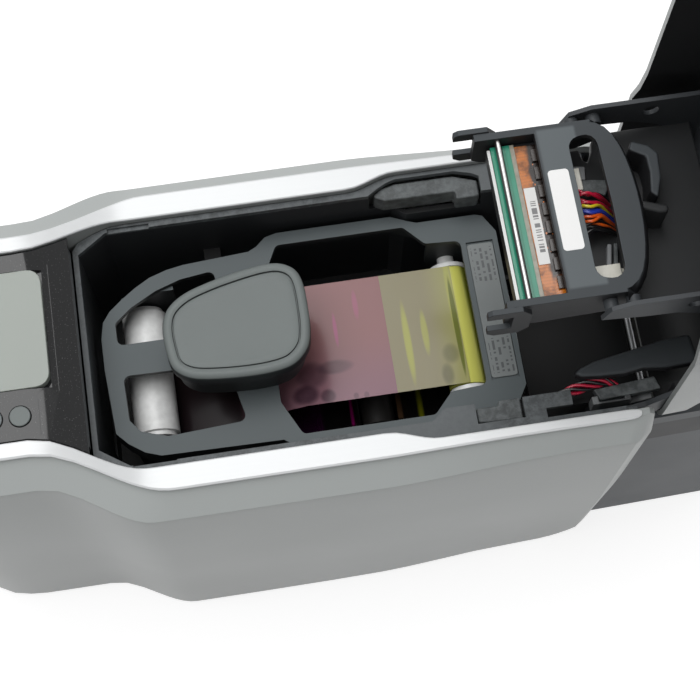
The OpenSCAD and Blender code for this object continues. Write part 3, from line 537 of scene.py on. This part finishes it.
def channel_plastic(name, colour):
    """Cable channel: dark, with pale moulded ends."""
    made = Finish(name, colour, 0.45)
    ends = made.along("X", 104.5, 102) + made.along("X", 121, 125)
    veins = made.noise(200, detail=5, roughness=0.7)
    body = made.shades(veins, colour, 0.7, 1.25)
    made.feed("Base Color", made.mix(ends.least(1) * 0.8, body, tone(136, 139, 140)))
    made.bump(veins, 0.15, 0.06)
    return made


# On the print head, in millimetres: pitch of the board's printed lines, edge of its bonded strip,
# pitch of the flex's tracks, and the edge of its dark outer part with how far that edge wanders
BOARD_LINE = 1.9
BOARD_STRIP_X = (70.4, 70.8)
FLEX_TRACK = 1.4
FLEX_DARK_X = (77.6, 79)
FLEX_WANDER = 3


def ceramic_board(name, colour):
    """Glazed ceramic with fine printed lines, and a bonded strip beside the flex."""
    made = Finish(name, colour, 0.2, Specular_IOR_Level=0.3, Coat_Weight=0.15, Coat_Roughness=0.06)
    lines = made.ramp(((made.axis("X") / (BOARD_LINE * MM)).fraction() - 0.5).abs(), 0.36, 0.44)
    body = made.shades(made.noise(90, detail=3), colour, 0.85, 1.15)
    body = made.mix(lines * 0.3, body, tone(14, 84, 62))
    strip = made.mix(made.noise(420, detail=3), tone(120, 116, 104), tone(176, 170, 154))
    made.feed("Base Color", made.mix(made.along("X", *BOARD_STRIP_X), body, strip))
    made.bump(lines, 0.15, 0.05)
    return made


def flex_circuit(name, colour):
    """Amber flexible circuit, dark on its outer part, with painted glints as small gold points there."""
    made = Finish(name, colour, 0.24, Specular_IOR_Level=0.35, Coat_Weight=0.3, Coat_Roughness=0.1)
    tracks = (made.axis("Y") / (FLEX_TRACK * MM)).fraction()
    dark = made.ramp((tracks - 0.5).abs(), 0.22, 0.3)
    stain = made.ramp(made.noise(210, detail=4, roughness=0.7), 0.42, 0.66)
    body = made.mix(dark * 0.2, colour, tone(128, 64, 12))
    body = made.mix(stain * 0.7, body, tone(60, 30, 10))
    wave = made.noise(120) * (FLEX_WANDER * MM) + made.axis("X")
    outer = made.ramp(wave, *(place * MM for place in FLEX_DARK_X)) * made.along("Y", -29, -24)
    body = made.mix(outer, body, tone(26, 17, 13))
    # Painted glints: small gold points of light on the dark outer part.
    points = made.ramp(made.cells(520, stretch=(1, 0.6, 1)), 0.2, 0.12)
    made.feed("Base Color", made.mix(outer * points * 0.9, body, tone(214, 128, 70)))
    made.feed("Roughness", stain * 0.2 + 0.2)
    made.bump(tracks, 0.1, 0.05)
    return made


def paper_label(name, colour):
    """Blank white label stock."""
    made = Finish(name, colour, 0.55)
    fibre = made.noise(1300, detail=4)
    made.feed("Base Color", made.shades(fibre, colour, 0.96, 1))
    made.feed("Roughness", fibre * 0.1 + 0.5)
    made.bump(fibre, 0.05, 0.02)
    return made


# Strip of bars on the head's label, in millimetres: pitch of the bars, and where they lie
LABEL_BAR = 0.45
LABEL_STRIP_X = (74.3, 76.5)
LABEL_STRIP_Y = (-15, 8)


def striped_label(name, colour):
    """White label with a strip of plain bars, which say nothing."""
    made = Finish(name, colour, 0.5)
    x, y = made.axis("X"), made.axis("Y")
    bar = (y / (LABEL_BAR * MM)).floor()
    chance = made.node("ShaderNodeTexWhiteNoise", {"noise_dimensions": "1D"}, {"W": bar})
    inside = x.within(*LABEL_STRIP_X) * y.within(*LABEL_STRIP_Y)
    made.feed("Base Color", made.mix(inside * (chance > 0.5) * 0.8, colour, tone(70, 70, 74)))
    made.bump(made.noise(1300, detail=3), 0.05, 0.02)
    return made


def lacquered(name, colour, roughness=0.3):
    """Wire insulation and other small glossy plastic."""
    made = Finish(name, colour, roughness, Coat_Weight=0.3, Coat_Roughness=0.2)
    cloud = made.noise(320, detail=3)
    made.feed("Base Color", made.shades(cloud, colour, 0.8, 1.15))
    made.feed("Roughness", cloud * 0.15 + (roughness - 0.07))
    made.bump(made.noise(1400), 0.06, 0.04)
    return made


# The finish of each slot, by the slot's name
FINISHES = {made.name: made for made in (
    satin_paint("silver_grey", tone(160, 164, 163)),
    rim_silver("bright_trim", tone(226, 228, 229)),
    moulded("dark_plastic", tone(62, 65, 68), 0.48),
    moulded("black_plastic", tone(42, 43, 44), 0.42),
    piano_black("gloss_black", tone(12, 13, 15)),
    display_panel("screen_grey", tone(140, 147, 140)),
    turned_steel("steel", tone(215, 216, 218)),
    roller_rubber("rubber", tone(38, 36, 35)),
    roller_rubber("rubber_grey", tone(120, 122, 124)),
    mottled_grey("mid_grey", tone(92, 96, 97)),
    painted_facing_light("frame_grey", tone(66, 70, 73), tone(34, 35, 37), 0.46, 0.55, 0.9, tone(98, 104, 107)),
    moulded("head_black", tone(44, 45, 47), 0.34, Metallic=0.4),
    ceramic_board("ceramic_green", tone(44, 140, 112)),
    flex_circuit("flex_amber", tone(196, 112, 34)),
    lacquered("chip_black", tone(36, 26, 20), 0.25),
    paper_label("label_white", tone(252, 252, 251)),
    lacquered("connector_cream", tone(222, 220, 208), 0.35),
    lacquered("wire_red", tone(196, 26, 62)),
    lacquered("wire_black", tone(24, 24, 26)),
    lacquered("wire_yellow", tone(224, 204, 40)),
    lacquered("wire_blue", tone(40, 62, 176)),
    lacquered("wire_orange", tone(232, 96, 24)),
    painted_facing_light("pad_grey", tone(115, 121, 120), tone(40, 42, 43), 0.44, 0.15, 0.5),
    painted_facing_light("cartridge_grey", tone(88, 95, 97), tone(46, 49, 50), 0.42, 0.2, 0.7),
    magenta_film("film_magenta", tone(142, 99, 100)),
    yellow_film("film_yellow", tone(140, 133, 104)),
    wound_roll("roll_yellow", tone(216, 216, 110)),
    lacquered("core_white", tone(234, 235, 234), 0.5),
)}
# Finishes of single nodes, which go before the finish of their slot
OWN_FINISHES = {
    "head_label": striped_label("striped_label", tone(228, 228, 226)),
    "inner_tub": painted_facing_light("tub_black", tone(20, 21, 22), tone(44, 46, 48), 0.4, 0.3, 0.8),
    "inner_deck": ledge_plastic("ledge_plastic", tone(84, 88, 90)),
    "card_path_plate": path_black("path_black", tone(16, 15, 16)),
    "cartridge_tag": tag_plastic("tag_plastic", tone(112, 117, 117)),
    "rear_housing": rear_plastic("rear_plastic", tone(84, 87, 90)),
    "cable_clip": channel_plastic("channel_plastic", tone(60, 62, 64)),
    "head_guard_rod": rod_with_painted_light("rod_with_painted_light", tone(200, 200, 198)),
    "head_edge_rail": rod_with_painted_light("edge_rod", tone(164, 165, 164)),
    "rear_bar": rod_with_painted_light("rear_rod", tone(150, 152, 154)),
}
SLOT_OF = {row["node"]: row["material_slot"] for row in frame["record"]["subparts"]}
BODY_OF = {
    node: body
    for body, members in frame["record"]["behaviour"]["bodies"].items()
    for node in members
}


def finish_for(slot, node=None):
    """The own finish of a node that has one, or else that of the slot."""
    return OWN_FINISHES.get(node) or FINISHES[slot]


def dress_nodes():
    """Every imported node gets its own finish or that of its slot."""
    for name, node in frame["nodes"].items():
        node.data.materials.clear()
        node.data.materials.append(finish_for(SLOT_OF[name], name).material)


# ---- Mesh tools ----

# Points closer than this are merged
WELD = 0.001 * MM
# Edges between faces that meet at less than this are dissolved
FLAT = math.radians(0.4)


def select_only(piece):
    bpy.ops.object.select_all(action="DESELECT")
    piece.select_set(True)
    bpy.context.view_layer.objects.active = piece


def edit(piece):
    """Opens a piece in edit mode, to work on its faces, with nothing selected."""
    select_only(piece)
    bpy.ops.object.mode_set(mode="EDIT")
    bpy.ops.mesh.select_mode(type="FACE")
    bpy.ops.mesh.select_all(action="DESELECT")


def done():
    bpy.ops.object.mode_set(mode="OBJECT")


def edit_faces(piece, chosen):
    """Opens a piece in edit mode with the faces selected for which chosen is true."""
    edit(piece)
    done()
    for face in piece.data.polygons:
        face.select = chosen(face)
    bpy.ops.object.mode_set(mode="EDIT")


def weld():
    """Selects all of the piece that is being edited, and merges points that coincide."""
    bpy.ops.mesh.select_all(action="SELECT")
    bpy.ops.mesh.remove_doubles(threshold=WELD)


def face_outwards():
    """Selects all of the piece that is being edited, and turns its faces outwards."""
    bpy.ops.mesh.select_all(action="SELECT")
    bpy.ops.mesh.normals_make_consistent(inside=False)


def smooth_below(sharp):
    """Shades the active piece smoothly, except at edges sharper than an angle in degrees."""
    bpy.ops.object.shade_smooth_by_angle(angle=math.radians(sharp))


def round_edges(piece, radius, sharp):
    """Rounds the edges that are sharper than an angle in degrees, by a radius in millimetres."""
    select_only(piece)
    bevel = piece.modifiers.new("bevel", "BEVEL")
    bevel.width = radius * MM
    bevel.segments = 2
    bevel.limit_method = "ANGLE"
    bevel.angle_limit = math.radians(sharp)
    bevel.harden_normals = True
    bpy.ops.object.modifier_apply(modifier=bevel.name)


def node_copy(node, name):
    """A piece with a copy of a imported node's mesh, without its stored normals."""
    piece = bpy.data.objects.new(name, frame["nodes"][node].data.copy())
    bpy.context.scene.collection.objects.link(piece)
    select_only(piece)
    bpy.ops.mesh.customdata_custom_splitnormals_clear()
    return piece


def flat_face(places):
    """A piece of one flat face, with its corners at places given in metres."""
    bpy.ops.mesh.primitive_circle_add(
        vertices=len(places), radius=MM, fill_type="NGON", location=(0, 0, 0))
    piece = bpy.context.object
    for vertex, place in zip(piece.data.vertices, places):
        vertex.co = place
    return piece


def finish_piece(piece, name, slot, body, *nodes):
    """Names a piece, gives it a finish, and seats it on its body, in place of a node if one is given."""
    piece.name = name
    piece.data.name = name
    piece.data.materials.clear()
    piece.data.materials.append(finish_for(slot, *nodes).material)
    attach(piece, body)
    if nodes:
        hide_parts(*nodes)


def stand_for(piece, node):
    """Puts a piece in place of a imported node, with the node's slot and body."""
    finish_piece(piece, piece.name, SLOT_OF[node], BODY_OF[node], node)


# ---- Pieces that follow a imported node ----

# Radius of each moulding's edges, in millimetres
EDGE_RADII = {
    "inner_tub": 0.5, "inner_deck": 0.4, "front_fascia": 1.5, "hopper_frame": 0.5,
    "rear_housing": 2.0, "base_housing": 1.0, "latch_block_far": 0.9, "latch_block_near": 0.9,
    "card_guides": 0.5, "card_path_plate": 0.4, "cable_clip": 0.6, "lid_hinge_arms": 0.5,
    "head_carrier": 0.7, "head_bracket": 0.8, "head_heat_sink": 0.3, "head_board": 0.2,
    "head_edge_rail": 0.25, "head_flex": 0.2, "head_chips": 0.2, "head_connector": 0.4,
    "cartridge_frame": 0.7, "cartridge_tag": 0.15, "hopper_door": 0.6, "lid_button": 0.9,
    "menu_button": 0.6, "up_button": 0.6, "down_button": 0.6, "power_button": 0.6,
    "feet": 0.8, "hinge_pins": 0.4, "front_bezel": 0.5, "screen": 0.4, "power_inlet": 0.5,
    "data_sockets": 0.3, "platen_roller": 0.4, "feed_roller": 0.4, "rear_roller": 0.4,
    "supply_spool": 0.3, "takeup_core": 0.3,
}
MOULDING_SHARP = 30
# Angle in degrees up to which each lofted skin is smooth
SKINS = {"side_panel_near": 24, "side_panel_far": 24, "rim_trim_near": 30, "rim_trim_far": 30}
FILM_SHARP = 20


def moulding(node, radius):
    """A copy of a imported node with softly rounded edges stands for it."""
    piece = node_copy(node, node + "_moulding")
    edit(piece)
    weld()
    bpy.ops.mesh.dissolve_limited(angle_limit=FLAT)
    done()
    smooth_below(MOULDING_SHARP)
    round_edges(piece, radius, MOULDING_SHARP)
    stand_for(piece, node)


def smooth_node(node, sharp, ending="_skin"):
    """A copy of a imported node, shaded smoothly across its facets, stands for it."""
    piece = node_copy(node, node + ending)
    edit(piece)
    weld()
    done()
    smooth_below(sharp)
    stand_for(piece, node)
    return piece


def film_sheets():
    """The film as smoothly shaded sheets, each with a mesh of its own; on the real printer the film is
    loose, and the closing lid's head presses it down onto the platen roller.
    """
    for node in ("film_magenta", "film_yellow"):
        sheet = smooth_node(node, FILM_SHARP, "_sheet")
        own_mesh(sheet)


# The bracket's hand bar, in millimetres: it lies beyond BAR_FROM_X, and reaches BAR_DEPTH down
# from the top; its skirt flares out and hangs down, and grows from faces above a least area
BAR_FROM_X = 99
BAR_DEPTH = 4.5
SKIRT_FLARE = 2.2
SKIRT_DROP = 4.5
SKIRT_LEAST_AREA = 0.3


def hand_bar():
    """The bracket with the flared dark skirt under its curved hand bar."""
    piece = bpy.data.objects["head_bracket_moulding"]
    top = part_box("head_bracket")[1].z

    def on_skirt(face):
        outward = face.normal.x > 0.25 and abs(face.normal.z) < 0.3
        on_bar = face.center.x > BAR_FROM_X * MM and face.center.z > top - BAR_DEPTH * MM
        return outward and on_bar and face.area > SKIRT_LEAST_AREA * MM * MM

    edit_faces(piece, on_skirt)
    bpy.ops.mesh.extrude_region_shrink_fatten(TRANSFORM_OT_shrink_fatten={"value": SKIRT_FLARE * MM})
    bpy.ops.transform.translate(value=(0, 0, -SKIRT_DROP * MM))
    done()


# A point in the open lid's hollow, which the faces of its lining look towards
LID_HOLLOW = Vector((132, 0, 304)) * MM
# The walls of the round posts and holes in the lid's back are lining too, in millimetres
POSTS_FROM_X = 167
POSTS_HALF_WIDTH = 38
LID_SHARP = 28
# Name of each wall, whether it is the lining, and its slot
LID_WALLS = (("lid_outer_wall", False, "silver_grey"), ("lid_lining", True, "black_plastic"))


def on_lining(face):
    """Whether a face of the lid shell belongs to its dark inner wall."""
    looks_in = face.normal.dot(face.center - LID_HOLLOW) < 0
    near_posts = face.center.x > POSTS_FROM_X * MM and abs(face.center.y) < POSTS_HALF_WIDTH * MM
    return looks_in or (near_posts and abs(face.normal.x) < 0.5)


def lid_walls():
    """The lid's pale outer wall, and its dark inner wall as a lining of its own."""
    for name, is_lining, slot in LID_WALLS:
        piece = node_copy("lid_shell", name)
        edit_faces(piece, lambda face: on_lining(face) != is_lining)
        bpy.ops.mesh.delete(type="FACE")
        weld()
        done()
        smooth_below(LID_SHARP)
        finish_piece(piece, name, slot, "lid", "lid_shell")


# ---- Grip pad ----

PAD_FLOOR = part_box("handle_pad")[0].z
PAD_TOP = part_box("handle_pad")[1].z
PAD_CENTRE = Vector((-50.5, 1, 0)) * MM
# Plan of the pad in millimetres, and how many points the smooth outline has for each of these
PAD_OUTLINE = (
    (-82.9, 3.7), (-82.6, -6.6), (-80.6, -15.4), (-74.5, -20.6), (-65.2, -22.9), (-49.1, -24.1),
    (-36.3, -23.6), (-27.5, -21.2), (-21.2, -15.0), (-18.9, -7.0), (-18.4, 3.0), (-18.9, 15.0),
    (-21.4, 22.0), (-27.2, 26.0), (-34.8, 26.8), (-46.0, 25.3), (-60.0, 22.2), (-72.2, 18.0),
    (-80.0, 11.8),
)
PAD_STEPS = 4
# Size of the foot as a share of the outline
PAD_FOOT = 0.925
# Lift in millimetres and growth of each step up the side
PAD_SIDE = (((PAD_TOP - PAD_FLOOR) / MM - 9.5, 1.02), (1.2, 1.07), (6.3, 0.995))
# Inset and lift in millimetres of each step over the round border and the groove inside it
PAD_BORDER = (
    (0.4, 0.8), (0.7, 0.7), (0.9, 0.4), (1.1, 0), (1, -0.5), (0.3, -1.1), (0.35, 0), (0.25, 0.9), (0.8, 0.3),
)
# Lift in millimetres and growth of each step down into the dish
PAD_DISH = ((-0.2, 0.9), (-0.2, 0.8), (-0.1, 0.6))
PAD_SHARP = 44


def smooth_loop(points, steps):
    """More points along a closed loop, on a smooth curve through the given ones."""
    dense = []
    count = len(points)
    for index in range(count):
        first, second, third, fourth = [Vector(points[(index + step) % count]) for step in (-1, 0, 1, 2)]
        for step in range(steps):
            share = step / steps
            bend = (first * -1 + second * 3 - third * 3 + fourth) * share ** 3
            curve = (first * 2 - second * 5 + third * 4 - fourth) * share ** 2
            dense.append((second * 2 + (third - first) * share + curve + bend) * 0.5)
    return dense


def raise_face(lift, grow):
    """Extrudes the selected face upwards by millimetres, and resizes it about the pad's centre."""
    bpy.ops.mesh.extrude_region_move(TRANSFORM_OT_translate={"value": (0, 0, lift * MM)})
    bpy.ops.transform.resize(value=(grow, grow, 1), center_override=tuple(PAD_CENTRE))


def grip_pad():
    """Handle pad: an uneven block with a raised round border and a shallow dish."""
    centre = PAD_CENTRE.xy
    foot = [centre + (place * MM - centre) * PAD_FOOT for place in smooth_loop(PAD_OUTLINE, PAD_STEPS)]
    pad = flat_face([(place.x, place.y, PAD_FLOOR) for place in foot])
    edit(pad)
    face_outwards()
    for lift, grow in PAD_SIDE:
        raise_face(lift, grow)
    for thickness, lift in PAD_BORDER:
        bpy.ops.mesh.inset(thickness=thickness * MM, depth=lift * MM)
    for lift, grow in PAD_DISH:
        raise_face(lift, grow)
    face_outwards()
    done()
    smooth_below(PAD_SHARP)
    finish_piece(pad, "grip_pad", "pad_grey", "cartridge", "handle_pad")


# ---- Wires ----

# Start and end of each harness wire across the head, and how far it bows up and sideways
HARNESS = {
    "red": ((13.0, 10.5, 4, 1.5), (11.2, 9.6, 6, -1.2), (9.6, 7.2, 3, 1.0), (7.6, 6.0, 5, -0.6)),
    "yellow": ((4.4, 4.8, 6, 1.6),),
    "blue": ((3.6, 3.4, 4, 0.8), (2.6, 2.2, 5, 1.2), (1.4, 1.2, 3, 0.2)),
    "orange": ((-0.6, 0.8, 5, 1.4), (-4.5, -0.6, 6, 2.6), (-1.6, -2.4, 3, -0.8)),
    "black": ((-2.4, -3.2, 2, 0.6), (-3.6, -1.6, 4, 0.2), (6.4, 5.2, 1, 0.4), (-6.4, -4.4, 2, -0.6),
              (12.2, 12.0, 1, 0.2)),
}
HARNESS_RADIUS = 0.72


def strands(node, routes, radius):
    """Insulated wires along smooth routes given in millimetres stand for a node, as one piece."""
    name = node + "_strands"
    curve = bpy.data.curves.new(name, "CURVE")
    curve.dimensions = "3D"
    curve.bevel_depth = radius * MM
    curve.bevel_resolution = 2
    curve.resolution_u = 5
    curve.use_fill_caps = True
    for route in routes:
        spline = curve.splines.new("NURBS")
        spline.points.add(len(route) - 1)
        for point, (x, y, z) in zip(spline.points, route):
            point.co = (x * MM, y * MM, z * MM, 1)
        spline.use_endpoint_u = True
        spline.order_u = 4
    wire = bpy.data.objects.new(name, curve)
    bpy.context.scene.collection.objects.link(wire)
    select_only(wire)
    bpy.ops.object.convert(target="MESH")
    bpy.ops.object.shade_smooth()
    stand_for(bpy.context.object, node)


def head_route(start, end, rise, sway):
    """One wire: out of the connector, over the slot, down through it and up into the lid."""
    return (
        (87.6, start, 286.4), (90.5, start, 287 + 0.3 * rise),
        (94.5, start + sway * 1.6, 289 + 0.7 * rise), (99, end - sway * 1.2, 289 + rise),
        (103.5, end + sway * 0.9, 288 + 0.6 * rise), (108, end - sway * 0.4, 284),
        (112, end * 0.9, 277), (118, end * 0.8, 266), (136, end * 0.7, 262),
        (150, end * 0.7, 270), (156.6, end * 0.7, 280),
    )


def head_harness():
    """The wires from the head's connector, through the finger slot, into the lid."""
    for colour, wires in HARNESS.items():
        strands("head_wires_" + colour, [head_route(*wire) for wire in wires], HARNESS_RADIUS)


# Plan of the line that the latch wires twist round, its height at the ends and how far it rises
# between them, in millimetres
LATCH_LINE = (
    (71.5, -54.6), (80.5, -52.2), (86.2, -50.8), (93.4, -48.6), (100.5, -47.0), (107.5, -46), (113, -48.5),
)
LATCH_Z = 211
LATCH_RISE = 4.5
# Distance of the wires from that line at its ends, how much it widens between them, and its
# share in height
TWIST_SPREAD = 1.3
TWIST_LOOSE = 0.9
TWIST_HEIGHT = 0.7
# Turn over the whole length, and where the wires of each colour start, in degrees
TWIST_TURN = 560
TWIST_STARTS = {"red": (0, 120, 240), "black": (60, 180, 300)}
TWIST_STEPS = 18
LATCH_RADIUS = 0.75


def twisted_route(start):
    """One of the wires that twist round each other beside the bay."""
    route = []
    legs = len(LATCH_LINE) - 1
    for step in range(TWIST_STEPS + 1):
        share = step / TWIST_STEPS
        leg = min(legs - 1, int(share * legs))
        part = share * legs - leg
        x, y = [low * (1 - part) + high * part for low, high in zip(LATCH_LINE[leg], LATCH_LINE[leg + 1])]
        angle = math.radians(start + TWIST_TURN * share)
        swell = math.sin(math.pi * share)
        spread = TWIST_SPREAD + TWIST_LOOSE * swell
        y += spread * math.cos(angle)
        z = LATCH_Z + LATCH_RISE * swell + spread * TWIST_HEIGHT * math.sin(angle)
        route.append((x, y, z))
    return route


def latch_harness():
    """Red and black wires twisted round each other beside the bay."""
    for colour, starts in TWIST_STARTS.items():
        strands("latch_wires_" + colour, [twisted_route(start) for start in starts], LATCH_RADIUS)


# ---- Small plates ----

# Name, body, slot, floor, top, edge radius and plan of each plate, in millimetres
PLATES = (
    ("head_shield", "lid", "black_plastic", 275, 280, 0.8, (
        (109, -30), (118, -38), (152, -38), (152, 43), (118, 42.6), (108.6, 39.6), (107.6, 34.6),
        (105.2, 30.1), (103.6, 31.6), (102.6, 36.6), (96, 36.6), (96, -27))),
    ("shield_rib", "lid", "frame_grey", 278, 296, 1.2, (
        (121, 30), (127.7, 27), (131.1, 23), (130, 12), (127, 3.2), (124, 6), (125.6, 15),
        (125.4, 22), (119, 26))),
    ("shield_pin", "lid", "black_plastic", 278, 297, 1.2, (
        (118.7, -0.8), (119.6, 3), (126.4, 0.4), (130, -1), (129.4, -4), (125.5, -3.6))),
    ("slot_plate", "lid", "mid_grey", 280, 284, 0.6, (
        (97.5, 14.2), (108.9, 12.5), (112, 19), (104, 20.4), (98.8, 20.9))),
    ("slot_bar_far", "lid", "rubber_grey", 278, 284, 0.5, (
        (105, -9), (106.8, -9.3), (104.4, -21), (102.4, -20.6))),
    ("slot_bar_near", "lid", "mid_grey", 278, 284.4, 0.5, (
        (107.6, -9.2), (109.2, -9.5), (107, -21.4), (105.2, -21.2))),
    ("slot_socket", "lid", "connector_cream", 281, 287.5, 0.5, (
        (96.9, -20.4), (100.6, -20.9), (102.6, -23.2), (104, -20.9), (105.4, -21.4),
        (104.6, -27.2), (97.2, -26.2))),
    ("slot_boss", "lid", "connector_cream", 281, 286.5, 0.7, (
        (105.9, -21.2), (108, -21), (110, -21.8), (110.9, -23.6), (110.2, -26), (108.4, -27.4),
        (106.4, -27.2), (105.2, -25.6))),
    ("slot_tag", "lid", "rubber_grey", 280, 284, 0.5, (
        (98.2, 27.4), (102.8, 26.6), (102, 20.6), (97.4, 21.2))),
    ("arm_root", "lid", "frame_grey", 215, 221, 2, (
        (92.5, -43), (96, -40.6), (103, -38.2), (120, -35.4), (134, -33), (148, -32), (149, -46),
        (134, -46.5), (124, -45), (115, -46.4), (104, -46), (96, -45))),
    ("channel_cover", "base", "mid_grey", 210, 214.6, 0.6, (
        (101.4, -49.6), (129.4, -47.4), (131.2, -53.4), (103.6, -54.8))),
)
PLATE_SMOOTH = 30
PLATE_SHARP = 40


def small_plates():
    """Shield, brackets and sockets that show through the finger slot and past the head."""
    for name, body, slot, floor, top, radius, outline in PLATES:
        piece = flat_face([Vector((x, y, floor)) * MM for x, y in outline])
        edit(piece)
        bpy.ops.mesh.select_all(action="SELECT")
        bpy.ops.mesh.extrude_region_move(TRANSFORM_OT_translate={"value": (0, 0, (top - floor) * MM)})
        face_outwards()
        done()
        smooth_below(PLATE_SMOOTH)
        round_edges(piece, radius, PLATE_SHARP)
        finish_piece(piece, name, slot, body)


# ---- Room and light ----

FLOOR_SIZE = 8
FLOOR_COLOUR = (0.4, 0.4, 0.4, 1)
# Light that the floor gives off where it is seen, straight or mirrored
FLOOR_SEEN = (0.8, 0.8, 0.8, 1)
UNLIT = (0, 0, 0, 1)
ROOM_COLOUR = (1, 1, 1, 1)
# Strength of the room's light on the printer; it is 1 where the room is seen
ROOM_LIGHT = 0.3
LAMP_TARGET = Vector((0, 0, 0.2))


def room_seen(tree):
    """Is 1 for the rays that show the room: straight, mirrored or through glass."""
    path = tree.nodes.new("ShaderNodeLightPath")
    straight, mirrored, through = [
        Value(tree, path.outputs[name])
        for name in ("Is Camera Ray", "Is Glossy Ray", "Is Transmission Ray")
    ]
    return (straight + mirrored + through).least(1)


def add_floor():
    bpy.ops.mesh.primitive_plane_add(size=FLOOR_SIZE, location=(0, 0, 0))
    floor = bpy.context.object
    floor.name = "floor"
    white = Finish("floor_white", FLOOR_COLOUR, 0.9, Emission_Strength=1.0)
    white.feed("Emission Color", white.mix(room_seen(white.tree), UNLIT, FLOOR_SEEN))
    floor.data.materials.append(white.material)


def add_world():
    world = bpy.data.worlds.new("studio")
    bpy.context.scene.world = world
    world.use_nodes = True
    tree = world.node_tree
    back = tree.nodes["Background"]
    back.inputs["Color"].default_value = ROOM_COLOUR
    strength = room_seen(tree) * (1 - ROOM_LIGHT) + ROOM_LIGHT
    tree.links.new(strength.socket, back.inputs["Strength"])


def softbox(name, place, width, height, power):
    """A rectangular lamp turned to the printer; sizes are in metres and power in watts."""
    data = bpy.data.lights.new(name, "AREA")
    data.shape = "RECTANGLE"
    data.size = width
    data.size_y = height
    data.energy = power
    lamp = bpy.data.objects.new(name, data)
    bpy.context.scene.collection.objects.link(lamp)
    lamp.location = place
    lamp.rotation_euler = (Vector(place) - LAMP_TARGET).to_track_quat("Z", "Y").to_euler()


def add_lights():
    softbox("overhead", (-0.3, 0.25, 1.75), width=1.5, height=1.0, power=19.4)
    softbox("near_side", (0.2, -1.7, 0.9), width=1.6, height=0.9, power=1.0)
    softbox("rear", (1.5, 0.6, 1.0), width=0.8, height=0.8, power=3)


def main():
    bpy.context.scene.view_settings.view_transform = "Standard"
    add_camera()
    dress_nodes()
    for node, radius in EDGE_RADII.items():
        moulding(node, radius)
    for node, sharp in SKINS.items():
        smooth_node(node, sharp)
    grip_pad()
    hand_bar()
    lid_walls()
    head_harness()
    latch_harness()
    film_sheets()
    small_plates()
    add_floor()
    add_world()
    add_lights()


main()
